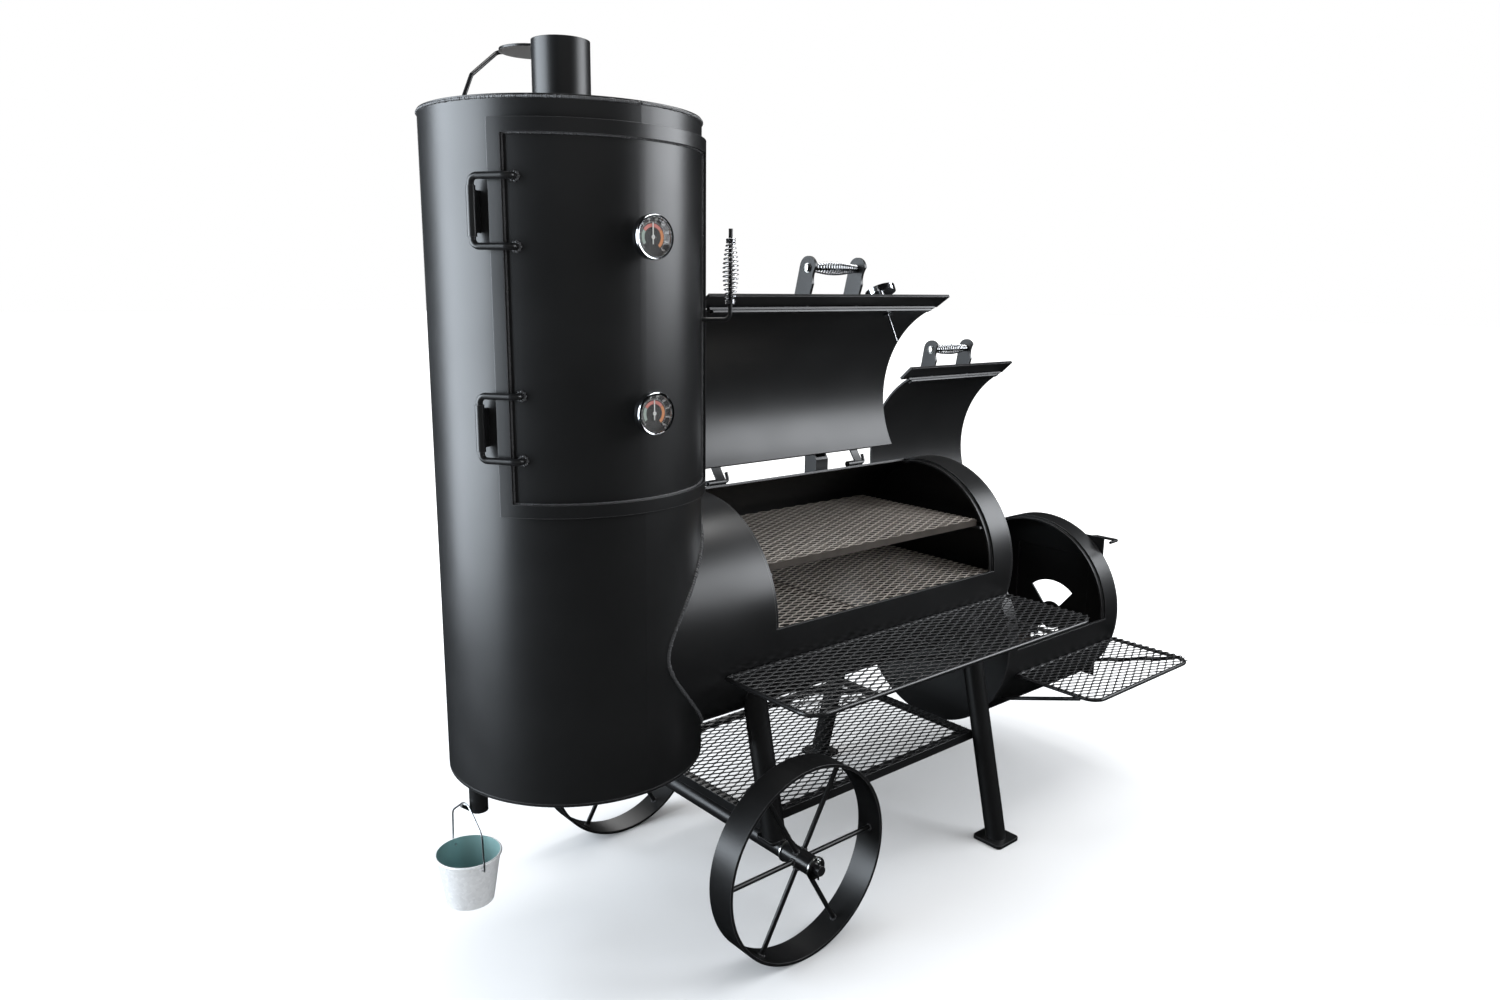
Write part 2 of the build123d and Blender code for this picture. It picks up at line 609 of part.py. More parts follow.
def lid_handle(lid):
    """Two shaped plates on the lid, and the bolted rod that carries the grip."""
    grip_y, grip_z = lid.at(GRIP_ANGLE, lid.radius + lid.grip_out)
    high = lid.at(HANDLE_BASE[0], lid.radius - WALL)
    low = lid.at(HANDLE_BASE[1], lid.radius - WALL)
    plane = Plane(origin=(0, 0, 0), x_dir=(0, 1, 0), z_dir=(1, 0, 0))
    outline = make_hull((Pos(grip_y, grip_z) * Circle(HANDLE_ROUND)).edges() + Line(high, low).edges())
    neck_y, neck_z = (grip_y + low[0]) / 2, (grip_z + low[1]) / 2 - 76
    outline -= Pos(neck_y, neck_z) * Circle(52)
    outline -= Pos(grip_y, grip_z) * Circle(GRIP_ROD_R)
    pieces = []
    for x in lid.grip_x:
        plate = extrude(plane * outline, amount=HANDLE_PLATE)
        plate = Pos(x - HANDLE_PLATE / 2, 0, 0) * plate
        pieces.append(plate - lid.solid(lid.radius) - closed_skirt(lid))
    x0 = lid.grip_x[0] - HANDLE_PLATE / 2
    x1 = lid.grip_x[1] + HANDLE_PLATE / 2
    rod = tube((x0, grip_y, grip_z), (x1, grip_y, grip_z), GRIP_ROD_R)
    rod += tube((x0 - BOLT_HEAD, grip_y, grip_z), (x0, grip_y, grip_z), BOLT_R)
    rod += tube((x1, grip_y, grip_z), (x1 + BOLT_HEAD, grip_y, grip_z), BOLT_R)
    return [lid.opened(piece) for piece in [*pieces, rod]]


def lid_spring(lid):
    grip_y, grip_z = lid.at(GRIP_ANGLE, lid.radius + lid.grip_out)
    x0 = lid.grip_x[0] + HANDLE_PLATE / 2 + 1
    x1 = lid.grip_x[1] - HANDLE_PLATE / 2 - 1
    return [lid.opened(spring_grip((x0, grip_y, grip_z), (x1, grip_y, grip_z), GRIP_ROD_R + 0.02))]


def lid_dial():
    group = dial(BARREL_R, BARREL_R - WALL, LID_DIAL_STANDOFF)
    upright = Rot(0, 0, 90) * Rot(180, 0, 0)
    turned = [Rot(LID_DIAL_ANGLE, 0, 0) * upright * piece for piece in group]
    return [MAIN_LID.opened(Pos(LID_DIAL_X, 0, BARREL_Z) * piece) for piece in turned]


def lid_hinge_sleeves():
    sleeves = []
    for lid in (MAIN_LID, FIREBOX_LID):
        for x in lid.hinge_x:
            start = (x, lid.hinge_y, lid.hinge_z)
            end = (x + LID_TUBE, lid.hinge_y, lid.hinge_z)
            web = along_x(ring_sector(lid.radius, lid.radius + 4, lid.hinge_angle - 4, lid.hinge_angle + 1),
                          x, x + LID_TUBE, lid.axis_z)
            web -= tube(start, end, LID_TUBE_R - 1)
            sleeves.append(web + tube(start, end, LID_TUBE_R, LID_PIN_R + RUN))
    return sleeves


def lid_hinge_pins():
    """Round pins with their right ends bent up, so that they can be pulled out."""
    pins = []
    for lid in (MAIN_LID, FIREBOX_LID):
        for x in lid.hinge_x:
            bend_x = x + 2 * LID_TUBE + 13
            points = [(x - 4, lid.hinge_y, lid.hinge_z), (bend_x, lid.hinge_y, lid.hinge_z),
                      (bend_x, lid.hinge_y + 9, lid.hinge_z + 24)]
            pins.append(bent_rod(points, LID_PIN_R, 8))
    return pins


def lid_stops():
    """Square-tube posts on the shells' backs; an open lid leans on them."""
    posts = []
    for lid, x in ((MAIN_LID, BARREL_STOP_X), (FIREBOX_LID, FIREBOX_STOP_X)):
        centre_y, centre_z = lid.hinge_y + STOP / 2 + 14, lid.hinge_z - 35
        post = Box(STOP, STOP, 180) - Box(STOP - 2 * STOP_WALL, STOP - 2 * STOP_WALL, 200)
        post = Pos(x, centre_y, centre_z) * post
        post -= lid.solid(lid.radius)
        swept = lid.opened(lid.solid(lid.radius + REAR_BAR + GAP))
        posts.append((post - swept).solids().sort_by(Axis.Z)[-1])
    return posts


# ---- barrel's grates ---------------------------------------------------------------------
def barrel_rails():
    """Cross bars under the sliding grate, and long bars under the two lower grates."""
    inner = BARREL_R - WALL
    x0, x1, _, _, top = UPPER_GRATE
    high = top - GRATE_DEEP - 0.3
    rails = []
    for left, right in ((x0 - 26, x0 + 7), (x1 - 7, x1 + 30)):
        front = block(left, right, -inner, 0, high - RAIL, high) & barrel_solid(inner - STRIP)
        back = block(left, right, 0, inner, high - RAIL, high) & barrel_solid(inner)
        rails.append(front + back)
    low = LOWER_GRATE_TOP - GRATE_DEEP
    for side in (-1, 1):
        y0, y1 = sorted((side * (LOWER_GRATE_HALF - 30), side * inner))
        bar = block(LOWER_GRATE_X[0], LOWER_GRATE_X[2], y0, y1, low - RAIL, low)
        rails.append(bar & barrel_solid(inner))
    return rails


def mesh_grate(x0, x1, y0, y1, top):
    """A flat-bar frame and the expanded sheet welded on it."""
    low = top - GRATE_DEEP
    frame = block(x0, x1, y0, y1, low, top - MESH)
    frame -= block(x0 + GRATE_BAR, x1 - GRATE_BAR, y0 + GRATE_BAR, y1 - GRATE_BAR, low - 1, top)
    return [frame, block(x0, x1, y0, y1, top - MESH, top)]


def upper_grate():
    return mesh_grate(*UPPER_GRATE)


def lower_grates():
    left, middle, right = LOWER_GRATE_X
    half = LOWER_GRATE_HALF
    return (mesh_grate(left, middle - 1, -half, half, LOWER_GRATE_TOP)
            + mesh_grate(middle + 1, right, -half, half, LOWER_GRATE_TOP))


# ---- firebox -----------------------------------------------------------------------------
def firebox_shell():
    pipe = along_x(Circle(FIREBOX_R) - Circle(FIREBOX_R - WALL), BARREL_END + WALL, FIREBOX_END - WALL,
                   FIREBOX_Z)
    x0, x1 = FIREBOX_OPEN
    cut = along_x(ring_sector(FIREBOX_R / 2, FIREBOX_R * 2, FIREBOX_REAR, LID_FRONT), x0, x1, FIREBOX_Z)
    return [pipe - cut]


def firebox_end_plate():
    y0, y1, z0, z1 = END_OPEN
    plate = firebox_solid(FIREBOX_R, FIREBOX_END - WALL, FIREBOX_END)
    return [plate - block(FIREBOX_END - 20, FIREBOX_END + 20, y0, y1, z0, z1)]


def fire_grate():
    """Heavy bars on two cross bars whose ends rest on the firebox wall."""
    inside = firebox_solid(FIREBOX_R - WALL)
    x0, x1 = BARREL_END + 40, FIREBOX_END - 60
    rack = block(x0 + 60, x0 + 78, -FIREBOX_R, FIREBOX_R, FIRE_GRATE_Z - 18, FIRE_GRATE_Z) & inside
    rack += block(x1 - 78, x1 - 60, -FIREBOX_R, FIREBOX_R, FIRE_GRATE_Z - 18, FIRE_GRATE_Z) & inside
    for i in range(11):
        y = -200 + i * 40
        rack += block(x0, x1, y - 6, y + 6, FIRE_GRATE_Z - 4, FIRE_GRATE_Z + 12)
    return [rack]


DOOR_X = FIREBOX_END + GAP                     # inner face of the end door
END_PIN = (DOOR_X + END_DOOR_THICK + 8, END_DOOR[1] + 14)
END_HINGE_Z = [(380.0, 440.0), (600.0, 660.0)]


def vent_sectors(r_in, r_out):
    """Two ring sectors, up and down, about the vent's axis."""
    up = ring_sector(r_in, r_out, 90 - VENT_SPAN / 2, 90 + VENT_SPAN / 2)
    down = ring_sector(r_in, r_out, 270 - VENT_SPAN / 2, 270 + VENT_SPAN / 2)
    return [Pos(VENT_Y, 0) * up, Pos(VENT_Y, 0) * down]


def end_door():
    """Plate with two vent windows, hinge knuckles, the vent's pivot, and a bent-rod loop."""
    y0, y1, z0, z1 = END_DOOR
    outer = DOOR_X + END_DOOR_THICK
    plate = block(DOOR_X, outer, y0, y1, z0, z1)
    for window in vent_sectors(*VENT_R):
        plate -= along_x(window, DOOR_X - 1, outer + 1, VENT_Z)
    pin_x, pin_y = END_PIN
    for low, high in END_HINGE_Z:
        arm = block(DOOR_X, outer, y1, pin_y, low + 5, high - 5)
        arm += block(outer - 1, pin_x, pin_y - 4, pin_y + 4, low + 5, high - 5)
        arm -= tube((pin_x, pin_y, low), (pin_x, pin_y, high), END_PIN_R + 2)
        plate += arm + tube((pin_x, pin_y, low), (pin_x, pin_y, high), END_PIN_R + 4, END_PIN_R + RUN)
    plate += tube((outer, VENT_Y, VENT_Z), (outer + VENT_PLATE + 8, VENT_Y, VENT_Z), 6)
    loop_z = z1 - 8
    loop = bent_rod([(outer - 1, y0 + 60, loop_z), (outer + 30, y0 + 50, loop_z),
                     (outer + 32, y0 - 30, loop_z), (DOOR_X - 14, y0 - 34, loop_z)], 5, 8)
    return [plate + loop]


def end_door_hinges():
    """Lift-off hinge pins on brackets welded to the firebox's end plate."""
    pin_x, pin_y = END_PIN
    hinges = []
    for low, high in END_HINGE_Z:
        bracket = block(FIREBOX_END, pin_x + 6, pin_y - 6, pin_y + 6, low - 14, low - 1)
        hinges.append(bracket + tube((pin_x, pin_y, low - 1), (pin_x, pin_y, high - 4), END_PIN_R))
    return hinges


def vent_wheel():
    """Butterfly plate that turns over the vent windows, with a small knob; it rests open."""
    outer = DOOR_X + END_DOOR_THICK
    x0, x1 = outer + GAP, outer + GAP + VENT_PLATE
    wings = along_x(Pos(VENT_Y, 0) * Circle(VENT_R[0] - 8), x0, x1, VENT_Z)
    r_out = VENT_R[1] + 8
    for middle in (0, 180):
        wing = ring_sector(VENT_R[0] - 20, r_out, middle - VENT_SPAN / 2 - 4, middle + VENT_SPAN / 2 + 4)
        wings += along_x(Pos(VENT_Y, 0) * wing, x0, x1, VENT_Z)
    wings -= tube((x0 - 1, VENT_Y, VENT_Z), (x1 + 1, VENT_Y, VENT_Z), 6 + RUN)
    knob_y = VENT_Y - r_out + 18
    return [wings + tube((x1, knob_y, VENT_Z), (x1 + 22, knob_y, VENT_Z), 7)]


# ---- stand -------------------------------------------------------------------------------
def leg_y(z):
    return LEG_FOOT_Y - z * tan(radians(LEG_LEAN))


AXLE_Z = WHEEL_R
SLEEVE_TOP = AXLE_Z + AXLE_SLEEVE_R
PLATE_TOP = SLEEVE_TOP + AXLE_PLATE_THICK


def legs():
    barrel = barrel_solid(BARREL_R)
    pipes = []
    for x, foot in ((LEG_X[0], PLATE_TOP), (LEG_X[1], FOOT_THICK)):
        for side in (-1, 1):
            top_z = BARREL_Z
            pipe = tube((x, side * leg_y(-60), -60), (x, side * leg_y(top_z), top_z), LEG_R, LEG_R - LEG_WALL)
            pipe -= block(x - 100, x + 100, -600, 600, -200, foot)
            pipes.append((pipe - barrel).solids().sort_by(Axis.Z)[0])
    return pipes


def foot_plates():
    plates = []
    for side in (-1, 1):
        floor_plate = Pos(LEG_X[1], side * leg_y(FOOT_THICK), FOOT_THICK / 2) * Box(FOOT, FOOT, FOOT_THICK)
        top_plate = Pos(LEG_X[0], side * leg_y(PLATE_TOP), PLATE_TOP - AXLE_PLATE_THICK / 2)
        top_plate = top_plate * Box(AXLE_PLATE, AXLE_PLATE, AXLE_PLATE_THICK)
        for plate in (floor_plate, top_plate):
            plates.append(fillet(plate.edges().filter_by(Axis.Z), FOOT_CORNER))
    return plates


def axle_sleeve():
    reach = HUB[0] - 2 * WASHER
    return [tube((WHEEL_X, -reach, AXLE_Z), (WHEEL_X, reach, AXLE_Z), AXLE_SLEEVE_R, AXLE_R + RUN)]


def axle():
    bar = tube((WHEEL_X, -AXLE_END, AXLE_Z), (WHEEL_X, AXLE_END, AXLE_Z), AXLE_R)
    for side in (-1, 1):
        y = side * COTTER_Y
        bar -= tube((WHEEL_X, y, AXLE_Z - 2 * AXLE_R), (WHEEL_X, y, AXLE_Z + 2 * AXLE_R), COTTER_R + 0.1)
    return [bar]


COTTER_Y = HUB[1] + WASHER + 8


def axle_washers_and_pins():
    pieces = []
    for side in (-1, 1):
        for y in (HUB[0] - WASHER - 0.4, HUB[1] + 0.4):
            start = (WHEEL_X, side * y, AXLE_Z)
            pieces.append(tube(start, (WHEEL_X, side * (y + WASHER), AXLE_Z), WASHER_R, AXLE_R + RUN))
        y = side * COTTER_Y
        pin = tube((WHEEL_X, y, AXLE_Z - AXLE_R - 14), (WHEEL_X, y, AXLE_Z + AXLE_R + 8), COTTER_R)
        pin += Pos(WHEEL_X, y, AXLE_Z + AXLE_R + 10) * Rot(0, 90, 0) * Torus(6, COTTER_R)
        pieces.append(pin)
    return pieces


def wheel_rim(side):
    """Rolled flat-bar rim with six round spokes, welded up."""
    mid = side * WHEEL_MID
    y0, y1 = mid - WHEEL_WIDE / 2, mid + WHEEL_WIDE / 2
    rim = tube((WHEEL_X, y0, AXLE_Z), (WHEEL_X, y1, AXLE_Z), WHEEL_R, WHEEL_R - WHEEL_BAR)
    for i in range(SPOKES):
        angle = radians(360 / SPOKES * i)
        reach = WHEEL_R - WHEEL_BAR / 2
        end = (WHEEL_X + reach * cos(angle), mid, AXLE_Z + reach * sin(angle))
        rim += tube((WHEEL_X, mid, AXLE_Z), end, SPOKE_R)
    return [rim - tube((WHEEL_X, y0, AXLE_Z), (WHEEL_X, y1, AXLE_Z), HUB_R)]


def wheel_hub(side):
    y0, y1 = side * HUB[0], side * HUB[1]
    return [tube((WHEEL_X, y0, AXLE_Z), (WHEEL_X, y1, AXLE_Z), HUB_R, AXLE_R + RUN)]


# ---- shelves -----------------------------------------------------------------------------
def bottom_shelf():
    """Angle-bar frame between the legs, with an expanded sheet on it."""
    x0, x1, top = BOTTOM_SHELF
    half = leg_y(top) - LEG_R / cos(radians(LEG_LEAN))
    frame = block(x0, x1, -half, half, top - ANGLE_BAR, top)
    t = ANGLE_THICK
    frame -= block(x0 + t, x1 - t, -half + t, half - t, top - ANGLE_BAR, top - t)
    b = ANGLE_BAR
    frame -= block(x0 + b, x1 - b, -half + b, half - b, top - ANGLE_BAR, top + 1)
    return frame, block(x0 + 3, x1 - 3, -half + 3, half - 3, top, top + MESH)


def rod_shelf(shelf, radius, axis_z, stay_x, cross_x=()):
    """Rod frame with rounded front corners on a shell's front, its stays, and the sheet on it."""
    x0, x1, front, top = shelf
    r = SHELF_ROD_R
    z = top - MESH - r
    back = -sqrt((radius + r) ** 2 - (axis_z - z) ** 2) - 0.1
    ends = [(x0 + r, back, z), (x0 + r, front + r, z), (x1 - r, front + r, z), (x1 - r, back, z)]
    rods = [bent_rod(ends, r, SHELF_CORNER), tube((x0 + 2 * r, back, z), (x1 - 2 * r, back, z), r)]
    foot_y = -sqrt(radius ** 2 - (axis_z - z + STAY_DROP) ** 2)
    rods += [tube((x, front + 2 * r, z), (x, back - r, z), r) for x in cross_x]
    carriers = list(rods)
    for x in stay_x:
        stay = tube((x, front + 60, z - r), (x, foot_y + 40, z - STAY_DROP - 14), r)
        stay -= along_x(Circle(radius), x - 50, x + 50, axis_z)
        for rod in carriers:
            stay -= rod
        rods.append(stay)
    sheet = block(x0, x1, front, back, top - MESH, top)
    return rods, fillet(sheet.edges().filter_by(Axis.Z).group_by(Axis.Y)[0], SHELF_CORNER)


def front_shelf():
    crosses = (440.0, 800.0, 1140.0)
    return rod_shelf(FRONT_SHELF, BARREL_R, BARREL_Z, crosses, crosses)


def firebox_shelf():
    x0, x1, _, _ = FIREBOX_SHELF
    return rod_shelf(FIREBOX_SHELF, FIREBOX_R, FIREBOX_Z, (x0 + SHELF_ROD_R, x1 - SHELF_ROD_R))


# ---- assembly ----------------------------------------------------------------------------
def build():
    """All nodes by name; each holds the solids of one piece, or of a set of like pieces."""
    (upper_case, upper_face, upper_needle), (lower_case, lower_face, lower_needle) = door_dials()
    lid_case, lid_face, lid_needle = lid_dial()
    bottom_frame, bottom_mesh = bottom_shelf()
    front_rods, front_mesh = front_shelf()
    firebox_rods, firebox_mesh = firebox_shelf()
    return {
        "vertical_shell": vertical_shell(),
        "vertical_end_plates": vertical_end_plates(),
        "chimney": chimney(),
        "damper_pivot_sleeve": damper_pivot_sleeve(),
        "damper": damper(),
        "door_plate": door_plate(),
        "door_flange": door_flange(),
        "door_hinge_bars": door_hinge_bars(),
        "door_hinge_sleeves": door_hinge_sleeves(),
        "door_dials": [upper_case, upper_face, lower_case, lower_face],
        "upper_dial_needle": [upper_needle],
        "lower_dial_needle": [lower_needle],
        "latch_rod": latch_rod(),
        "latch_spring": latch_spring(),
        "grate_rails": cabinet_rails() + barrel_rails(),
        "cabinet_grates": cabinet_grates(),
        "drain_pipe": drain_pipe(),
        "bucket_hook": bucket_hook(),
        "bail": bail(),
        "bucket": bucket(),
        "barrel_shell": barrel_shell(),
        "throat_plates": throat_plates(),
        "barrel_trim": opening_trim(BARREL_R, BARREL_REAR, BARREL_OPEN, BARREL_Z),
        "main_lid_shell": lid_shell(MAIN_LID, LID_DIAL_X),
        "main_lid_skirt": lid_skirt(MAIN_LID),
        "main_lid_straps": lid_straps(MAIN_LID),
        "main_lid_handle": lid_handle(MAIN_LID),
        "main_lid_spring": lid_spring(MAIN_LID),
        "lid_dial": [lid_case, lid_face],
        "lid_dial_needle": [lid_needle],
        "lid_hinge_sleeves": lid_hinge_sleeves(),
        "lid_hinge_pins": lid_hinge_pins(),
        "lid_stops": lid_stops(),
        "upper_grate": upper_grate(),
        "lower_grates": lower_grates(),
        "firebox_shell": firebox_shell(),
        "firebox_end_plate": firebox_end_plate(),
        "firebox_trim": opening_trim(FIREBOX_R, FIREBOX_REAR, FIREBOX_OPEN, FIREBOX_Z),
        "firebox_lid_shell": lid_shell(FIREBOX_LID),
        "firebox_lid_skirt": lid_skirt(FIREBOX_LID),
        "firebox_lid_straps": lid_straps(FIREBOX_LID),
        "firebox_lid_handle": lid_handle(FIREBOX_LID),
        "firebox_lid_spring": lid_spring(FIREBOX_LID),
        "fire_grate": fire_grate(),
        "end_door": end_door(),
        "end_door_hinges": end_door_hinges(),
        "vent_wheel": vent_wheel(),
        "legs": legs(),
        "foot_plates": foot_plates(),
        "axle_sleeve": axle_sleeve(),
        "axle": axle(),
        "axle_washers_and_pins": axle_washers_and_pins(),
        "front_wheel_rim": wheel_rim(-1),
        "front_wheel_hub": wheel_hub(-1),
        "rear_wheel_rim": wheel_rim(1),
        "rear_wheel_hub": wheel_hub(1),
        "bottom_shelf_frame": [bottom_frame],
        "bottom_shelf_mesh": [bottom_mesh],
        "shelf_frames": front_rods + firebox_rods,
        "shelf_meshes": [front_mesh, firebox_mesh],
    }


nodes = {name: Compound(children=[solid for piece in pieces for solid in piece.solids()])
         for name, pieces in build().items()}
corners = [node.bounding_box() for node in nodes.values()]
low = Vector(*(min(getattr(box.min, axis) for box in corners) for axis in "XYZ"))
high = Vector(*(max(getattr(box.max, axis) for box in corners) for axis in "XYZ"))
ORIGIN = Vector((low.X + high.X) / 2, (low.Y + high.Y) / 2, low.Z)

os.makedirs("parts", exist_ok=True)
for name, node in nodes.items():
    export_step(Pos(-ORIGIN) * node, f"parts/{name}.step")
print(len(nodes), "nodes, origin moved by", tuple(-ORIGIN))
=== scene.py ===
import random
from math import cos, pi, radians, sin, sqrt

import bmesh
import bpy
from mathutils import Matrix, Vector


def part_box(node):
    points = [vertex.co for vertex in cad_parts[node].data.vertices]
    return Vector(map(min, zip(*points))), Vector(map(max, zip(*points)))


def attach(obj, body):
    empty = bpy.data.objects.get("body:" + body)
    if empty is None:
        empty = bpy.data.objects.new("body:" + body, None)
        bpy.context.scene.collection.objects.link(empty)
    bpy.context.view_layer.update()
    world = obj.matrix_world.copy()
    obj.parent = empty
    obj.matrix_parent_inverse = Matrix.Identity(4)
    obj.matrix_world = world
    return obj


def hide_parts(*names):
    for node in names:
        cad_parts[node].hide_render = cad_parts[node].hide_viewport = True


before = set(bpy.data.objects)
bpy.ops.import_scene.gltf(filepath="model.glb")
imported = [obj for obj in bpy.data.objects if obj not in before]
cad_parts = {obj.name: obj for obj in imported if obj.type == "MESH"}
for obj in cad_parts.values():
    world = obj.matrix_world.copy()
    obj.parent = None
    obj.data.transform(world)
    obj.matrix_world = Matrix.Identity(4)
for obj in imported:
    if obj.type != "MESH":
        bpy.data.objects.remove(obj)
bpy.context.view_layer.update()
random.seed(7)

# ---- Upright cabinet ----------------------------------------------------------------------
# A length of 24 inch steel pipe stands at the left end, closed by flat round plates.
# It is sprayed with satin black stove paint, a little orange-peeled, and thin on its edges; the paler colour
# on its edges is partly that worn paint and partly a painted edge highlight.
low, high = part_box("vertical_shell")
CABINET_X = (low.x + high.x) / 2
CABINET_Y = (low.y + high.y) / 2
CABINET_R = (high.x - low.x) / 2
CABINET_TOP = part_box("vertical_end_plates")[1].z


def stove_paint(name, tone, roughness, edge=0.07, peel=0.05):
    """Satin black paint with soft cloudiness, fine peel, and paler edges that are partly worn paint and
    partly a painted edge highlight.
    """
    material = bpy.data.materials.new(name)
    material.use_nodes = True
    nodes, links = material.node_tree.nodes, material.node_tree.links
    shader = nodes["Principled BSDF"]
    place = nodes.new("ShaderNodeTexCoord")
    clouds = nodes.new("ShaderNodeTexNoise")
    clouds.inputs["Scale"].default_value = 5.0
    clouds.inputs["Detail"].default_value = 5.0
    links.new(place.outputs["Object"], clouds.inputs["Vector"])
    body = nodes.new("ShaderNodeMix")
    body.data_type = "RGBA"
    body.inputs["A"].default_value = (tone * 0.8, tone * 0.82, tone * 0.86, 1)
    body.inputs["B"].default_value = (tone * 1.25, tone * 1.28, tone * 1.36, 1)
    links.new(clouds.outputs["Fac"], body.inputs["Factor"])
    rounded = nodes.new("ShaderNodeBevel")
    rounded.samples = 4
    rounded.inputs["Radius"].default_value = 0.0018
    flat = nodes.new("ShaderNodeNewGeometry")
    turn = nodes.new("ShaderNodeVectorMath")
    turn.operation = "DOT_PRODUCT"
    links.new(rounded.outputs["Normal"], turn.inputs[0])
    links.new(flat.outputs["Normal"], turn.inputs[1])
    # Paler colour wherever the rounded normal turns away from the flat one, on every edge: partly worn paint,
    # partly a painted edge highlight.
    worn_and_highlit_edge = nodes.new("ShaderNodeMapRange")
    worn_and_highlit_edge.inputs["From Min"].default_value = 0.995
    worn_and_highlit_edge.inputs["From Max"].default_value = 0.86
    links.new(turn.outputs["Value"], worn_and_highlit_edge.inputs["Value"])
    paint = nodes.new("ShaderNodeMix")
    paint.data_type = "RGBA"
    paint.inputs["B"].default_value = (edge, edge, edge * 1.04, 1)
    links.new(worn_and_highlit_edge.outputs["Result"], paint.inputs["Factor"])
    links.new(body.outputs["Result"], paint.inputs["A"])
    links.new(paint.outputs["Result"], shader.inputs["Base Color"])
    gloss = nodes.new("ShaderNodeMapRange")
    gloss.inputs["To Min"].default_value = roughness - 0.05
    gloss.inputs["To Max"].default_value = roughness + 0.09
    links.new(clouds.outputs["Fac"], gloss.inputs["Value"])
    links.new(gloss.outputs["Result"], shader.inputs["Roughness"])
    grain = nodes.new("ShaderNodeTexNoise")
    grain.inputs["Scale"].default_value = 420.0
    grain.inputs["Detail"].default_value = 2.0
    links.new(place.outputs["Object"], grain.inputs["Vector"])
    bump = nodes.new("ShaderNodeBump")
    bump.inputs["Strength"].default_value = peel
    bump.inputs["Distance"].default_value = 0.001
    links.new(grain.outputs["Fac"], bump.inputs["Height"])
    links.new(rounded.outputs["Normal"], bump.inputs["Normal"])
    links.new(bump.outputs["Normal"], shader.inputs["Normal"])
    return material


def paint_nodes(material, *names):
    """Give CAD nodes their finish."""
    for name in names:
        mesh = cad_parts[name].data
        mesh.materials.clear()
        mesh.materials.append(material)


pipe_paint = stove_paint("pipe_paint", 0.005, 0.34)
paint_nodes(pipe_paint, "vertical_shell", "vertical_end_plates")


# ---- Weld beads ---------------------------------------------------------------------------
# Beads of weld run round the cabinet's top plate and where the barrel enters the cabinet.
# Each is a string of overlapping ripples, painted over with everything else, but in a paler paint that is a
# painted highlight along the beads.
def swept(bm, path, radii, sides=8):
    """Draw a round face along a path, growing and shrinking it, so that it leaves a closed bar."""
    path = [Vector(point) for point in path]
    heads = [path[1] - path[0]]
    heads += [path[i + 1] - path[i - 1] for i in range(1, len(path) - 1)]
    heads.append(path[-1] - path[-2])
    start = Matrix.Translation(path[0]) @ heads[0].to_track_quat("Z", "Y").to_matrix().to_4x4()
    ring = bmesh.ops.create_circle(bm, cap_ends=True, segments=sides, radius=radii[0], matrix=start)
    face = ring["verts"][0].link_faces[0]
    for i in range(1, len(path)):
        drawn = bmesh.ops.extrude_face_region(bm, geom=[face])["geom"]
        face = next(item for item in drawn if isinstance(item, bmesh.types.BMFace))
        turn = heads[i - 1].rotation_difference(heads[i]).to_matrix().to_4x4()
        grow = Matrix.Scale(radii[i] / radii[i - 1], 4)
        move = Matrix.Translation(path[i]) @ turn @ grow @ Matrix.Translation(-path[i - 1])
        bmesh.ops.transform(bm, matrix=move, verts=face.verts)


def add_piece(name, bm, material, body, crease=35.0):
    """Make a piece from a bmesh, smooth but for its sharp edges, riding on a body."""
    bmesh.ops.recalc_face_normals(bm, faces=bm.faces)
    mesh = bpy.data.meshes.new(name)
    bm.to_mesh(mesh)
    bm.free()
    mesh.materials.append(material)
    mesh.shade_smooth()
    mesh.set_sharp_from_angle(angle=radians(crease))
    piece = bpy.data.objects.new(name, mesh)
    bpy.context.scene.collection.objects.link(piece)
    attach(piece, body)
    return piece


def weld(bm, path, radius, ripple=0.0045):
    """A weld bead: its path is cut into ripples, each a little fatter or thinner."""
    points, radii = [], []
    for a, b in zip(path, path[1:]):
        a, b = Vector(a), Vector(b)
        count = max(1, round((b - a).length / ripple))
        for i in range(count):
            swell = random.uniform(0.82, 1.12)
            for share, size in ((0.0, 0.86), (0.5, 1.08)):
                points.append(a.lerp(b, (i + share) / count))
                radii.append(radius * size * swell)
    swept(bm, points, radii, 6)


def circle_path(centre, radius, start, end, count):
    """Points on a level arc; 0 degrees is the front and angles grow towards the firebox."""
    x, y, z = centre
    turns = [radians(start + (end - start) * i / count) for i in range(count + 1)]
    return [(x + radius * sin(t), y - radius * cos(t), z) for t in turns]


# The weld paint is six times paler than the pipe paint: a painted highlight along the beads.
weld_highlight_paint = stove_paint("weld_highlight_paint", 0.03, 0.3, edge=0.06, peel=0.2)
bm = bmesh.new()
weld(bm, circle_path((CABINET_X, CABINET_Y, CABINET_TOP - 0.0055), CABINET_R - 0.0002, 0, 359.6, 60), 0.0035)
add_piece("cabinet_top_weld", bm, weld_highlight_paint, "smoker")

low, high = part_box("barrel_shell")
BARREL_R = (high.y - low.y) / 2
BARREL_Y = (low.y + high.y) / 2
BARREL_AXIS_Z = low.z + BARREL_R
seam = []
for i in range(121):
    turn = radians(3 * i)
    y = BARREL_R * cos(turn)
    x = sqrt(CABINET_R ** 2 - y ** 2)
    seam.append((CABINET_X + x + 0.001, BARREL_Y + y, BARREL_AXIS_Z + BARREL_R * sin(turn)))
bm = bmesh.new()
weld(bm, seam, 0.005, 0.006)
add_piece("saddle_weld", bm, weld_highlight_paint, "smoker")

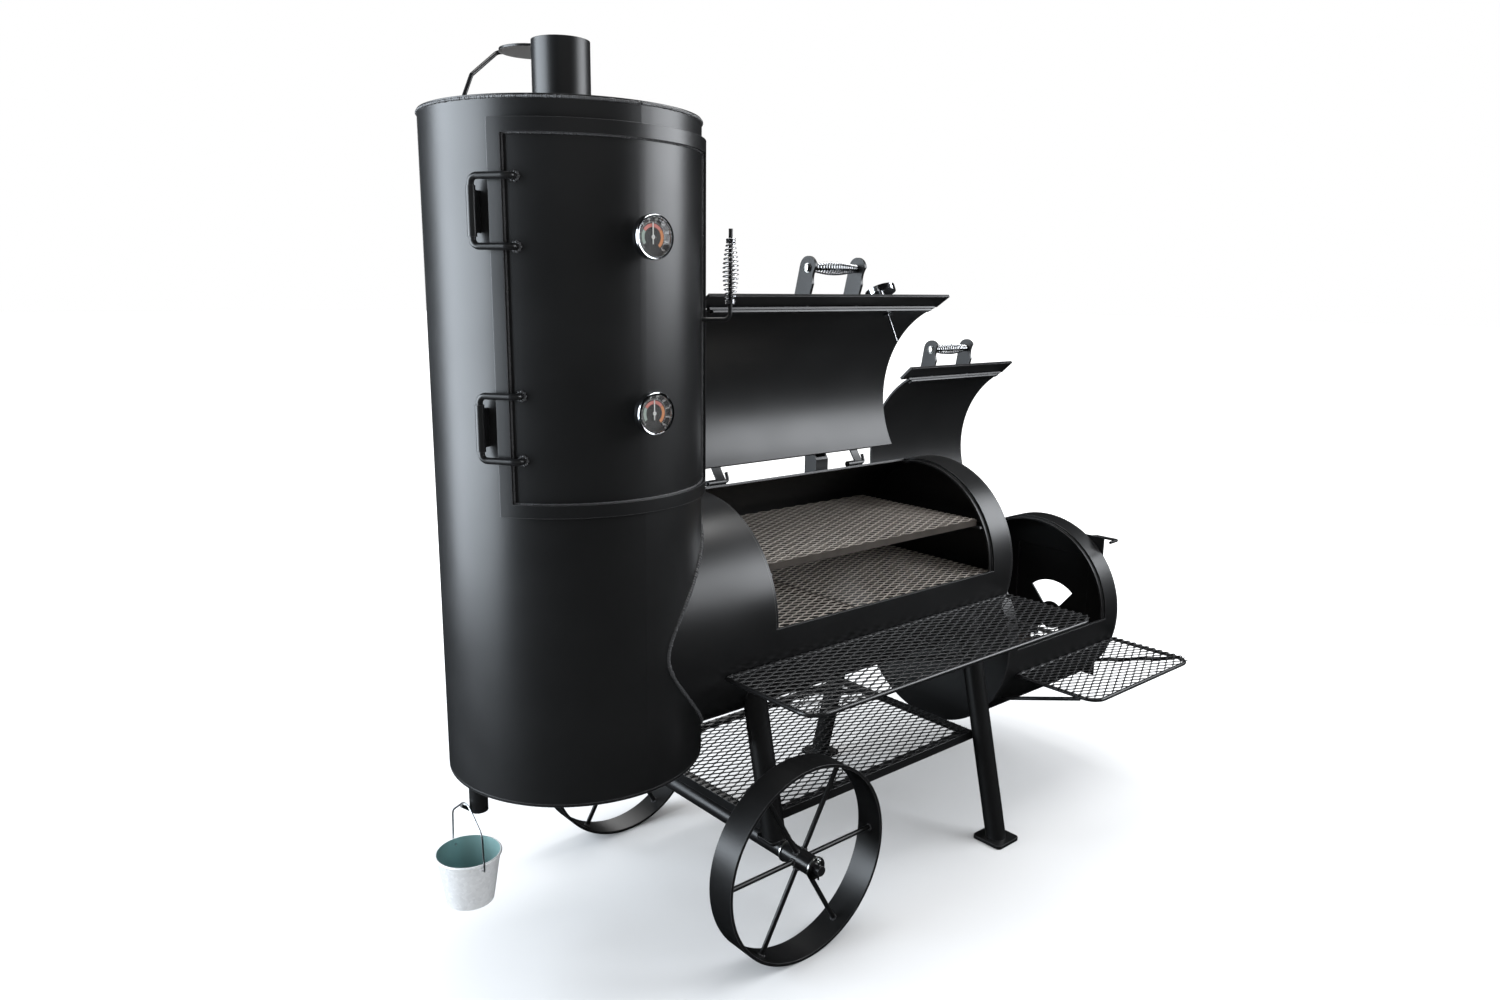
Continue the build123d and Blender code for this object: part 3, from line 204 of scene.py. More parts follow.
# ---- Chimney and damper -------------------------------------------------------------------
# The chimney is a short pipe on the top plate. A round plate swings over it on a pin in a
# welded sleeve, and a bent rod on the plate is its handle.
rod_paint = stove_paint("rod_paint", 0.006, 0.28)
paint_nodes(pipe_paint, "chimney", "damper_pivot_sleeve")
paint_nodes(rod_paint, "damper")
low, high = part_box("chimney")
CHIMNEY_R = (high.x - low.x) / 2
bm = bmesh.new()
weld(bm, circle_path((CABINET_X, CABINET_Y, low.z + 0.001), CHIMNEY_R + 0.001, 0, 359, 40), 0.0035)
add_piece("chimney_weld", bm, weld_highlight_paint, "smoker")

# ---- Cabinet door -------------------------------------------------------------------------
# The door is cut from the pipe itself, with a rolled flat-bar flange welded round it to cover
# the cut. It hangs on two round bars bent to a U that turn in sleeves on the pipe.
door_paint = stove_paint("door_paint", 0.005, 0.32)
paint_nodes(door_paint, "door_plate", "door_flange")
paint_nodes(rod_paint, "door_hinge_bars", "door_hinge_sleeves")
low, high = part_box("door_flange")
DOOR_HALF = 52.7
DOOR_SKIN = CABINET_R + 0.0007
BAND = 0.028
bm = bmesh.new()
corners = (low.z + BAND, high.z - BAND)
for z in corners:
    weld(bm, circle_path((CABINET_X, CABINET_Y, z), DOOR_SKIN + 0.0005, -DOOR_HALF, DOOR_HALF, 40), 0.0028)
for side in (-DOOR_HALF, DOOR_HALF):
    foot = circle_path((CABINET_X, CABINET_Y, corners[0]), DOOR_SKIN + 0.0005, side, side + 1, 1)[0]
    weld(bm, [foot, (foot[0], foot[1], corners[1])], 0.0028)
add_piece("door_flange_weld", bm, weld_highlight_paint, "door")

HINGE_ARM = radians(-48.5)
arms = bmesh.new()
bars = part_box("door_hinge_bars")[0].z + 0.007
for rise in (0.0, 0.132, 0.425, 0.558):
    foot_x = CABINET_X + DOOR_SKIN * sin(HINGE_ARM)
    foot_y = CABINET_Y - DOOR_SKIN * cos(HINGE_ARM)
    foot = Vector((foot_x, foot_y, bars + rise))
    for i in range(9):
        turn = 2 * pi * i / 9
        around = Vector((cos(HINGE_ARM) * cos(turn), sin(HINGE_ARM) * cos(turn), sin(turn))) * 0.0085
        spot = Matrix.Translation(foot + around)
        bmesh.ops.create_icosphere(arms, subdivisions=2, radius=random.uniform(0.0034, 0.0046), matrix=spot)
add_piece("hinge_arm_welds", arms, weld_highlight_paint, "door")


# ---- Door thermometers --------------------------------------------------------------------
# Two dial thermometers screw into the door: a chromed case on a stem, a black enamelled face
# with a printed arc of colours and white marks, a white needle, and a slightly domed glass.
def bright_metal(name, colour, roughness, mottle=0.05, scale=60.0, metal=1.0):
    """Plated or bare metal whose tone and polish vary a little."""
    material = bpy.data.materials.new(name)
    material.use_nodes = True
    nodes, links = material.node_tree.nodes, material.node_tree.links
    shader = nodes["Principled BSDF"]
    shader.inputs["Metallic"].default_value = metal
    place = nodes.new("ShaderNodeTexCoord")
    cloud = nodes.new("ShaderNodeTexNoise")
    cloud.inputs["Scale"].default_value = scale
    cloud.inputs["Detail"].default_value = 4.0
    links.new(place.outputs["Object"], cloud.inputs["Vector"])
    tone = nodes.new("ShaderNodeMix")
    tone.data_type = "RGBA"
    tone.inputs["A"].default_value = (*[c * (1 - mottle) for c in colour], 1)
    tone.inputs["B"].default_value = (*[min(1.0, c * (1 + mottle)) for c in colour], 1)
    links.new(cloud.outputs["Fac"], tone.inputs["Factor"])
    links.new(tone.outputs["Result"], shader.inputs["Base Color"])
    gloss = nodes.new("ShaderNodeMapRange")
    gloss.inputs["To Min"].default_value = roughness * 0.8
    gloss.inputs["To Max"].default_value = roughness * 1.3
    links.new(cloud.outputs["Fac"], gloss.inputs["Value"])
    links.new(gloss.outputs["Result"], shader.inputs["Roughness"])
    return material


def enamel(name, colour, roughness=0.35):
    """A printed or enamelled colour, very slightly uneven."""
    material = bpy.data.materials.new(name)
    material.use_nodes = True
    nodes, links = material.node_tree.nodes, material.node_tree.links
    shader = nodes["Principled BSDF"]
    shader.inputs["Roughness"].default_value = roughness
    place = nodes.new("ShaderNodeTexCoord")
    speck = nodes.new("ShaderNodeTexNoise")
    speck.inputs["Scale"].default_value = 900.0
    links.new(place.outputs["Object"], speck.inputs["Vector"])
    tone = nodes.new("ShaderNodeMix")
    tone.data_type = "RGBA"
    tone.inputs["A"].default_value = (*[c * 0.85 for c in colour], 1)
    tone.inputs["B"].default_value = (*colour, 1)
    links.new(speck.outputs["Fac"], tone.inputs["Factor"])
    links.new(tone.outputs["Result"], shader.inputs["Base Color"])
    return material


chrome = bright_metal("chrome", (0.68, 0.69, 0.71), 0.14)
dial_black = enamel("dial_black", (0.012, 0.012, 0.013), 0.4)
dial_white = enamel("dial_white", (0.9, 0.9, 0.88))
dial_green = enamel("dial_green", (0.42, 0.52, 0.46))
dial_red = enamel("dial_red", (0.75, 0.24, 0.2))
dial_orange = enamel("dial_orange", (0.85, 0.33, 0.12))
dial_glass = bpy.data.materials.new("dial_glass")
dial_glass.use_nodes = True
shader = dial_glass.node_tree.nodes["Principled BSDF"]
shader.inputs["Transmission Weight"].default_value = 1.0
shader.inputs["Roughness"].default_value = 0.0
shader.inputs["IOR"].default_value = 1.3
DIAL_R = 0.044
FACE_R = 0.039
FACE_IN = 0.0115           # from the bezel's front down to the printed face


def turned(bm, profile, steps=64):
    """Spin an outline, given as radius and height, into a closed ring or disc."""
    points = [bm.verts.new((r, 0, z)) for r, z in profile]
    edges = [bm.edges.new((a, b)) for a, b in zip(points, points[1:] + points[:1])]
    bmesh.ops.spin(bm, geom=points + edges, cent=(0, 0, 0), axis=(0, 0, 1), angle=2 * pi, steps=steps,
                   use_merge=True)
    bmesh.ops.remove_doubles(bm, verts=bm.verts, dist=1e-6)


def arc_plate(bm, r_in, r_out, start, end, low, high):
    """A thin printed arc; angles run clockwise from the top of the dial."""
    steps = max(2, round(abs(end - start) / 5))
    corners = [bm.verts.new((0, r, z)) for r, z in ((r_in, low), (r_out, low), (r_out, high), (r_in, high))]
    face = bm.faces.new(corners)
    bmesh.ops.rotate(bm, verts=corners, cent=(0, 0, 0), matrix=Matrix.Rotation(radians(-start), 3, "Z"))
    bmesh.ops.spin(bm, geom=[face, *face.edges, *corners], cent=(0, 0, 0), axis=(0, 0, 1),
                   angle=radians(start - end), steps=steps)


def thermometer(name, hub, out, up, body):
    """The bezel, face, print and glass of one dial, set on the case's front."""
    side = up.cross(out)
    place = Matrix((
        (side.x, up.x, out.x, hub.x),
        (side.y, up.y, out.y, hub.y),
        (side.z, up.z, out.z, hub.z),
        (0, 0, 0, 1)))

    def fit(part, bm, material):
        bmesh.ops.transform(bm, matrix=place, verts=bm.verts)
        piece = add_piece(name + "_" + part, bm, material, body)

    bm = bmesh.new()
    turned(bm, [(FACE_R - 0.001, -0.010), (DIAL_R + 0.0006, -0.010), (DIAL_R + 0.0012, -0.004),
                (DIAL_R + 0.0006, -0.0005), (DIAL_R - 0.001, 0.0012), (DIAL_R - 0.003, 0.0008),
                (FACE_R, -0.002)])
    fit("bezel", bm, chrome)
    bm = bmesh.new()
    turned(bm, [(0.0013, -FACE_IN), (FACE_R - 0.0002, -FACE_IN), (FACE_R - 0.0002, -FACE_IN + 0.0004),
                (0.0013, -FACE_IN + 0.0004)])
    fit("face", bm, dial_black)
    print_low, print_high = -FACE_IN + 0.0002, -FACE_IN + 0.0007
    for part, material, start, end in (("green_arc", dial_green, -125, -58), ("red_arc", dial_red, -56, 52),
                                       ("orange_arc", dial_orange, 54, 140)):
        bm = bmesh.new()
        arc_plate(bm, 0.0195, 0.0262, start, end, print_low, print_high)
        fit(part, bm, material)
    bm = bmesh.new()
    for i in range(55):
        turn = -135 + 5 * i
        long_mark = i % 6 == 0
        half_width = 1.6 if long_mark else 0.7
        arc_plate(bm, 0.028, 0.0325 if long_mark else 0.0305, turn - half_width / 2, turn + half_width / 2,
                  print_low, print_high)
    fit("marks", bm, dial_white)
    for i in range(10):
        turn = radians(-135 + 30 * i)
        number = bpy.data.curves.new("number", "FONT")
        number.body = str(100 * i) if i else "0"
        number.size = 0.0052
        number.extrude = 0.0001
        number.align_x, number.align_y = "CENTER", "CENTER"
        text = bpy.data.objects.new("number", number)
        mesh = bpy.data.meshes.new_from_object(text)
        bpy.data.objects.remove(text)
        mesh.transform(place @ Matrix.Translation((0.0352 * sin(turn), 0.0352 * cos(turn), print_high)))
        mesh.name = f"{name}_number_{i}"
        mesh.materials.clear()
        mesh.materials.append(dial_white)
        piece = bpy.data.objects.new(mesh.name, mesh)
        bpy.context.scene.collection.objects.link(piece)
        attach(piece, body)
    bm = bmesh.new()
    turned(bm, [(0.0, -0.0035), (FACE_R - 0.001, -0.0035), (FACE_R - 0.0003, -0.0028), (0.03, -0.0018),
                (0.015, -0.0012), (0.0, -0.001)], 48)
    fit("glass", bm, dial_glass)


paint_nodes(chrome, "door_dials")
paint_nodes(dial_white, "upper_dial_needle", "lower_dial_needle")
NEEDLE_TAIL = 0.014
for name, needle in (("upper_dial", "upper_dial_needle"), ("lower_dial", "lower_dial_needle")):
    low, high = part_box(needle)
    hub = Vector(((low.x + high.x) / 2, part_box("door_dials")[0].y, low.z + NEEDLE_TAIL))
    thermometer(name, hub, Vector((0, -1, 0)), Vector((0, 0, 1)), "door")

# ---- Door latch ---------------------------------------------------------------------------
# A round rod passes through the door to a cam bar inside. Outside it bends up into a handle,
# with a barrel-shaped coil of chromed wire wound on it as a cool grip.
paint_nodes(rod_paint, "latch_rod")


def coil_grip(name, node, axis, wire, turns, body):
    """A coil wound tight for three turns at each end and open between, fattest in the middle."""
    low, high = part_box(node)
    centre = (low + high) / 2
    along = Vector((0, 0, 1)) if axis == "Z" else Vector((1, 0, 0))
    length = (high - low).dot(along)
    across = Vector((1, 0, 0)) if axis == "Z" else Vector((0, 1, 0))
    other = along.cross(across)
    fat = (high - low).dot(across) / 2 - wire
    thin = fat * 0.56
    tight = 3
    open_turns = turns - 2 * tight
    steps = 18
    path = []
    for i in range(turns * steps + 1):
        turn = i / steps
        share = min(1.0, max(0.0, (turn - tight) / open_turns))
        end_run = 2 * tight * 2.05 * wire
        rise = (min(turn, tight) + max(0.0, turn - turns + tight)) * 2.05 * wire
        rise += share * (length - 2 * wire - end_run)
        radius = thin + (fat - thin) * sin(pi * share)
        angle = 2 * pi * turn
        path.append(centre + along * (rise + wire - length / 2)
                    + (across * cos(angle) + other * sin(angle)) * radius)
    bm = bmesh.new()
    swept(bm, path, [wire] * len(path), 8)
    piece = add_piece(name, bm, chrome, body, 60)
    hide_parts(node)
    return piece


coil_grip("latch_coil", "latch_spring", "Z", 0.0016, 19, "latch")

# ---- Cabinet grates -----------------------------------------------------------------------
# Wire grates lie on flat-bar rails inside the cabinet. They are bare steel, browned by heat.
bare_steel = bright_metal("bare_steel", (0.34, 0.31, 0.28), 0.38, 0.4, 35.0, 0.6)
browned_bar = bright_metal("browned_bar", (0.05, 0.042, 0.036), 0.45, 0.4, 30.0, 0.4)
paint_nodes(pipe_paint, "grate_rails")
paint_nodes(bare_steel, "cabinet_grates")

# ---- Drain and bucket ---------------------------------------------------------------------
# Fat drains through a pipe stub into a small galvanized pail, which hangs by its wire bail
# from a bent hook. The pail is dull silver outside, and its inward-facing faces are painted a darker greenish
# colour as painted shade.
paint_nodes(rod_paint, "drain_pipe", "bucket_hook")
galvanized_wire = bright_metal("galvanized_wire", (0.55, 0.56, 0.57), 0.3)
paint_nodes(galvanized_wire, "bail")
low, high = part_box("bucket")
BUCKET_X = (low.x + high.x) / 2
BUCKET_Y = (low.y + high.y) / 2
galvanized = bpy.data.materials.new("galvanized")
galvanized.use_nodes = True
nodes, links = galvanized.node_tree.nodes, galvanized.node_tree.links
shader = nodes["Principled BSDF"]
shader.inputs["Metallic"].default_value = 0.45
place = nodes.new("ShaderNodeTexCoord")
spangle = nodes.new("ShaderNodeTexVoronoi")
spangle.inputs["Scale"].default_value = 140.0
links.new(place.outputs["Object"], spangle.inputs["Vector"])
tone = nodes.new("ShaderNodeMix")
tone.data_type = "RGBA"
tone.inputs["A"].default_value = (0.66, 0.67, 0.68, 1)
tone.inputs["B"].default_value = (0.78, 0.79, 0.8, 1)
links.new(spangle.outputs["Color"], tone.inputs["Factor"])
# Faces turned towards the pail's axis get a darker green-grey: painted shade inside the pail.
inward = nodes.new("ShaderNodeVectorMath")
inward.operation = "SUBTRACT"
inward.inputs[1].default_value = (BUCKET_X, BUCKET_Y, 0)
links.new(place.outputs["Object"], inward.inputs[0])
level = nodes.new("ShaderNodeVectorMath")
level.operation = "MULTIPLY"
level.inputs[1].default_value = (1, 1, 0)
links.new(inward.outputs["Vector"], level.inputs[0])
facing = nodes.new("ShaderNodeVectorMath")
facing.operation = "DOT_PRODUCT"
shape = nodes.new("ShaderNodeNewGeometry")
links.new(level.outputs["Vector"], facing.inputs[0])
links.new(shape.outputs["Normal"], facing.inputs[1])
inner_shade_mask = nodes.new("ShaderNodeMapRange")
inner_shade_mask.inputs["From Min"].default_value = 0.0
inner_shade_mask.inputs["From Max"].default_value = -0.03
links.new(facing.outputs["Value"], inner_shade_mask.inputs["Value"])
painted_inner_shade = nodes.new("ShaderNodeMix")
painted_inner_shade.data_type = "RGBA"
painted_inner_shade.inputs["B"].default_value = (0.22, 0.36, 0.36, 1)
links.new(inner_shade_mask.outputs["Result"], painted_inner_shade.inputs["Factor"])
links.new(tone.outputs["Result"], painted_inner_shade.inputs["A"])
links.new(painted_inner_shade.outputs["Result"], shader.inputs["Base Color"])
gloss = nodes.new("ShaderNodeMapRange")
gloss.inputs["To Min"].default_value = 0.28
gloss.inputs["To Max"].default_value = 0.42
links.new(spangle.outputs["Distance"], gloss.inputs["Value"])
links.new(gloss.outputs["Result"], shader.inputs["Roughness"])
paint_nodes(galvanized, "bucket")

# ---- Barrel -------------------------------------------------------------------------------
# The cooking barrel is rolled plate closed by a flat plate with a throat to the firebox, and
# curved seats line the ends of its opening. All of it has the cabinet's paint.
paint_nodes(pipe_paint, "barrel_shell", "throat_plates", "barrel_trim")


# ---- Lids ---------------------------------------------------------------------------------
# Each lid is a piece of the rolled shell with a flat bar along its front edge. Shaped plates
# carry a bolted rod with a coil grip, and straps end in knuckles round lift-out hinge pins.
lid_paint = stove_paint("lid_paint", 0.006, 0.36)
zinc = bright_metal("zinc", (0.6, 0.6, 0.58), 0.28)
paint_nodes(lid_paint, "main_lid_shell", "firebox_lid_shell")
paint_nodes(rod_paint, "main_lid_skirt", "firebox_lid_skirt", "main_lid_straps", "firebox_lid_straps",
            "main_lid_handle", "firebox_lid_handle", "lid_hinge_sleeves", "lid_hinge_pins", "lid_stops")
coil_grip("main_lid_coil", "main_lid_spring", "X", 0.0022, 22, "main_lid")
coil_grip("firebox_lid_coil", "firebox_lid_spring", "X", 0.0022, 21, "firebox_lid")


BOLT_WASHER_R = 0.0125
BOLT_WASHER_THICK = 0.0016
BOLT_HEAD_R = 0.0118
BOLT_HEAD_HIGH = 0.0068
BOLT_HEAD_CENTRE = 0.005
BOLT_CHAMFER = 0.0014


def hex_bolt(bm, seat, away):
    """A hexagon head on a washer, seated at a point and facing away along X."""
    turn = Matrix.Translation(seat) @ Matrix.Rotation(radians(90 * away), 4, "Y")
    washer_place = turn @ Matrix.Translation((0, 0, BOLT_WASHER_THICK / 2))
    bmesh.ops.create_cone(bm, cap_ends=True, segments=28, radius1=BOLT_WASHER_R, radius2=BOLT_WASHER_R,
                          depth=BOLT_WASHER_THICK, matrix=washer_place)
    head_place = turn @ Matrix.Translation((0, 0, BOLT_HEAD_CENTRE))
    head = bmesh.ops.create_cone(bm, cap_ends=True, segments=6, radius1=BOLT_HEAD_R, radius2=BOLT_HEAD_R,
                                 depth=BOLT_HEAD_HIGH, matrix=head_place)
    ends = {face for vert in head["verts"] for face in vert.link_faces if len(face.verts) == 6}
    top = max(ends, key=lambda face: (face.calc_center_median() - turn.translation).length)
    bmesh.ops.bevel(bm, geom=list(top.edges), offset=BOLT_CHAMFER, offset_type="OFFSET", segments=2,
                    profile=0.5, affect="EDGES", material=-1)


PLATE = 0.008
for name, node, body in (("main_lid_bolts", "main_lid_spring", "main_lid"),
                         ("firebox_lid_bolts", "firebox_lid_spring", "firebox_lid")):
    low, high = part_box(node)
    centre = (low + high) / 2
    bm = bmesh.new()
    hex_bolt(bm, Vector((high.x + 0.001 + PLATE, centre.y, centre.z)), 1)
    hex_bolt(bm, Vector((low.x - 0.001 - PLATE, centre.y, centre.z)), -1)
    piece = add_piece(name, bm, zinc, body, 25)

paint_nodes(chrome, "lid_dial")
paint_nodes(dial_white, "lid_dial_needle")


# ---- Barrel grates ------------------------------------------------------------------------
# Expanded steel sheet is welded on flat-bar frames, bare and browned by heat. The sheet is
# slit and stretched, so its strands zigzag, stand a little on edge, and meet in short bonds.
LONG_WAY = 0.0508
SHORT_WAY = 0.0234
STRAND = 0.0034
STRAND_THICK = 0.0018
BOND = 0.012


def expanded_sheet(bm, x0, x1, y0, y1, top, corner=0.0):
    """Fill a rectangle with zigzag strands; corner cuts its two front corners."""
    lean = radians(14)
    rise = (SHORT_WAY / 2 - STRAND * cos(lean)) / 2
    tall = STRAND * sin(lean) + STRAND_THICK * cos(lean)
    wide = [(-STRAND / 2, -STRAND_THICK / 2), (STRAND / 2, -STRAND_THICK / 2), (STRAND / 2, STRAND_THICK / 2),
            (-STRAND / 2, STRAND_THICK / 2)]
    section = [(y * cos(lean) - z * sin(lean), y * sin(lean) + z * cos(lean)) for y, z in wide]
    count = int((x1 - x0) / LONG_WAY) + 2
    start = x0 - LONG_WAY / 2
    strip = bmesh.new()
    for side, shift in ((1, 0.0), (-1, SHORT_WAY / 2)):
        first = [strip.verts.new((start, shift + y + side * rise, z)) for y, z in section]
        face = strip.faces.new(first)
        for i in range(2 * count):
            down = -side if i % 2 == 0 else side
            for run, move in ((BOND, 0.0), (LONG_WAY / 2 - BOND, 2 * rise * down)):
                drawn = bmesh.ops.extrude_face_region(strip, geom=[face])["geom"]
                face = next(item for item in drawn if isinstance(item, bmesh.types.BMFace))
                bmesh.ops.translate(strip, verts=face.verts, vec=(run, move, 0))
    mesh = bpy.data.meshes.new("strip")
    strip.to_mesh(mesh)
    strip.free()
    rows = int((y1 - y0) / SHORT_WAY) + 1
    sheet = bmesh.new()
    for row in range(rows + 1):
        before = len(sheet.verts)
        sheet.from_mesh(mesh)
        sheet.verts.ensure_lookup_table()
        shift = (0, y0 + (row - 0.25) * SHORT_WAY, top - tall / 2)
        bmesh.ops.translate(sheet, verts=sheet.verts[before:], vec=shift)
    bpy.data.meshes.remove(mesh)
    cuts = [
        ((x0, 0, 0), (-1, 0, 0)),
        ((x1, 0, 0), (1, 0, 0)),
        ((0, y0, 0), (0, -1, 0)),
        ((0, y1, 0), (0, 1, 0))]
    if corner:
        for x, side in ((x0, -1), (x1, 1)):
            near = (x - side * corner * (1 - sqrt(0.5)), y0 + corner * (1 - sqrt(0.5)), 0)
            cuts.append((near, (side, -1, 0)))
    for place, away in cuts:
        geom = [*sheet.verts, *sheet.edges, *sheet.faces]
        cut = bmesh.ops.bisect_plane(sheet, geom=geom, dist=1e-6, plane_co=place, plane_no=away,
                                     clear_outer=True)
        rim = [item for item in cut["geom_cut"] if isinstance(item, bmesh.types.BMEdge)]
        bmesh.ops.holes_fill(sheet, edges=rim, sides=0)
    mesh = bpy.data.meshes.new("sheet")
    sheet.to_mesh(mesh)
    sheet.free()
    bm.from_mesh(mesh)
    bpy.data.meshes.remove(mesh)


def bar_frame(bm, x0, x1, y0, y1, z0, z1, thick):
    """A frame of flat bar on edge: a rectangle inset, opened, and drawn up."""
    place = Matrix.Translation(((x0 + x1) / 2, (y0 + y1) / 2, z0)) @ Matrix.Diagonal((x1 - x0, y1 - y0, 1, 1))
    made = bmesh.ops.create_grid(bm, x_segments=1, y_segments=1, size=0.5, matrix=place)
    face = made["verts"][0].link_faces[0]
    inset = bmesh.ops.inset_region(bm, faces=[face], thickness=thick, use_boundary=True,
                                   use_even_offset=True)
    ring = inset["faces"]
    bmesh.ops.delete(bm, geom=[face], context="FACES")
    drawn = bmesh.ops.extrude_face_region(bm, geom=ring)["geom"]
    lifted = [item for item in drawn if isinstance(item, bmesh.types.BMVert)]
    bmesh.ops.translate(bm, verts=lifted, vec=(0, 0, z1 - z0))


GRATE_BAR = 0.006
SHEET = 0.002
low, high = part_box("upper_grate")
bm = bmesh.new()
bar_frame(bm, low.x, high.x, low.y, high.y, low.z, high.z - SHEET, GRATE_BAR)
frame_piece = add_piece("upper_grate_frame", bm, browned_bar, "sliding_grate")
bm = bmesh.new()
expanded_sheet(bm, low.x + 0.001, high.x - 0.001, low.y + 0.001, high.y - 0.001, high.z)
sheet_piece = add_piece("upper_grate_sheet", bm, bare_steel, "sliding_grate")
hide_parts("upper_grate")

low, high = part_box("lower_grates")
SPLIT = 0.28
bm = bmesh.new()
sheets = bmesh.new()
for x0, x1 in ((low.x, low.x + SPLIT - 0.001), (low.x + SPLIT + 0.001, high.x)):
    bar_frame(bm, x0, x1, low.y, high.y, low.z, high.z - SHEET, GRATE_BAR)
    expanded_sheet(sheets, x0 + 0.004, x1 - 0.004, low.y + 0.001, high.y - 0.001, high.z)
frame_piece = add_piece("lower_grate_frames", bm, browned_bar, "smoker")
sheet_piece = add_piece("lower_grate_sheets", sheets, bare_steel, "smoker")
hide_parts("lower_grates")

# ---- Firebox ------------------------------------------------------------------------------
# The firebox is a shorter shell set lower, with its own lid, a heavy fire grate, and an end
# door with a butterfly vent. The grate is scaled by fire, and the rest is painted.
paint_nodes(pipe_paint, "firebox_shell", "firebox_end_plate", "firebox_trim", "end_door")
paint_nodes(rod_paint, "end_door_hinges", "vent_wheel")
burnt_steel = bright_metal("burnt_steel", (0.12, 0.1, 0.09), 0.6, 0.5, 30.0)
paint_nodes(burnt_steel, "fire_grate")

# ---- Stand and wheels ---------------------------------------------------------------------
# Pipe legs lean out under the barrel. Two stand on plates, and two on the axle's tube, which
# carries spoked wheels of rolled flat bar, held on by washers and cotter pins.
paint_nodes(pipe_paint, "legs", "foot_plates", "axle_sleeve", "front_wheel_rim", "rear_wheel_rim")
paint_nodes(rod_paint, "front_wheel_hub", "rear_wheel_hub", "bottom_shelf_frame", "shelf_frames")
paint_nodes(rod_paint, "axle")
paint_nodes(zinc, "axle_washers_and_pins")
low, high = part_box("front_wheel_rim")
WHEEL_R = (high.x - low.x) / 2
WHEEL_X = (low.x + high.x) / 2
for name, node, body in (("front_wheel_welds", "front_wheel_rim", "front_wheel"),
                         ("rear_wheel_welds", "rear_wheel_rim", "rear_wheel")):
    low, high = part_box(node)
    hub = Vector((WHEEL_X, (low.y + high.y) / 2, low.z + WHEEL_R))
    bm = bmesh.new()
    for i in range(6):
        turn = radians(60 * i)
        out = Vector((cos(turn), 0, sin(turn)))
        for reach, beads in ((0.0255, 7), (WHEEL_R - 0.0085, 8)):
            for j in range(beads):
                roll = 2 * pi * j / beads
                across = Vector((-sin(turn), 0, cos(turn))) * cos(roll)
                around = (across + Vector((0, 1, 0)) * sin(roll)) * 0.0068
                spot = Matrix.Translation(hub + out * reach + around)
                size = random.uniform(0.0026, 0.0036)
                bmesh.ops.create_icosphere(bm, subdivisions=2, radius=size, matrix=spot)
    add_piece(name, bm, weld_highlight_paint, body)

# ---- Shelves ------------------------------------------------------------------------------
# The front, firebox and bottom shelves are expanded sheet on rod or angle frames, and are
# painted black like the rest.
mesh_paint = stove_paint("mesh_paint", 0.006, 0.28, edge=0.05, peel=0.0)
low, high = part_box("bottom_shelf_mesh")
bm = bmesh.new()
expanded_sheet(bm, low.x, high.x, low.y, high.y, high.z + 0.001)
piece = add_piece("bottom_shelf_sheet", bm, mesh_paint, "smoker")
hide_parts("bottom_shelf_mesh")
low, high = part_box("shelf_meshes")
FRONT_LONG = 1.103
FIREBOX_LONG = 0.565
FIREBOX_FRONT = 0.012
FIREBOX_BACK = 0.008
SHELF_CORNER = 0.043
EDGE_GAP = 0.002
bm = bmesh.new()
expanded_sheet(bm, low.x + EDGE_GAP, low.x + FRONT_LONG - EDGE_GAP, low.y + EDGE_GAP, high.y,
               high.z + 0.001, SHELF_CORNER)
expanded_sheet(bm, high.x - FIREBOX_LONG + EDGE_GAP, high.x - EDGE_GAP, low.y + FIREBOX_FRONT + EDGE_GAP,
               high.y - FIREBOX_BACK, low.z + SHEET + 0.001, SHELF_CORNER)
piece = add_piece("shelf_sheets", bm, mesh_paint, "smoker")
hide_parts("shelf_meshes")

# ---- Stage --------------------------------------------------------------------------------
# The smoker stands on a pale seamless floor. A tall soft light at the left and one at the
# right front draw long highlights down the pipe, and the room behind the camera is dim.
floor_paint = bpy.data.materials.new("floor_paint")
floor_paint.use_nodes = True
shader = floor_paint.node_tree.nodes["Principled BSDF"]
shader.inputs["Base Color"].default_value = (0.55, 0.555, 0.56, 1)
shader.inputs["Roughness"].default_value = 0.9
shader.inputs["Specular IOR Level"].default_value = 0.1
shader.inputs["Emission Color"].default_value = (1, 1, 1, 1)
nodes, links = floor_paint.node_tree.nodes, floor_paint.node_tree.links
place = nodes.new("ShaderNodeTexCoord")
away = nodes.new("ShaderNodeVectorMath")
away.operation = "LENGTH"
links.new(place.outputs["Object"], away.inputs[0])
fade = nodes.new("ShaderNodeMapRange")
fade.inputs["From Min"].default_value = 1.2
fade.inputs["From Max"].default_value = 3.2
fade.inputs["To Min"].default_value = 0.0
fade.inputs["To Max"].default_value = 1.0
links.new(away.outputs["Value"], fade.inputs["Value"])
links.new(fade.outputs["Result"], shader.inputs["Emission Strength"])
bm = bmesh.new()
bmesh.ops.create_grid(bm, x_segments=1, y_segments=1, size=60.0)
mesh = bpy.data.meshes.new("floor")
bm.to_mesh(mesh)
bm.free()
mesh.materials.append(floor_paint)
floor = bpy.data.objects.new("floor", mesh)
floor.location.z = -0.0005
bpy.context.scene.collection.objects.link(floor)
floor.visible_glossy = False

AIM = radians(40.34)
world = bpy.data.worlds.new("studio")
bpy.context.scene.world = world
world.use_nodes = True
room = world.node_tree.nodes["Background"]
room.inputs["Color"].default_value = (1.0, 1.0, 1.0, 1)
room.inputs["Strength"].default_value = 1.0
world.cycles_visibility.glossy = False
world.cycles_visibility.transmission = True


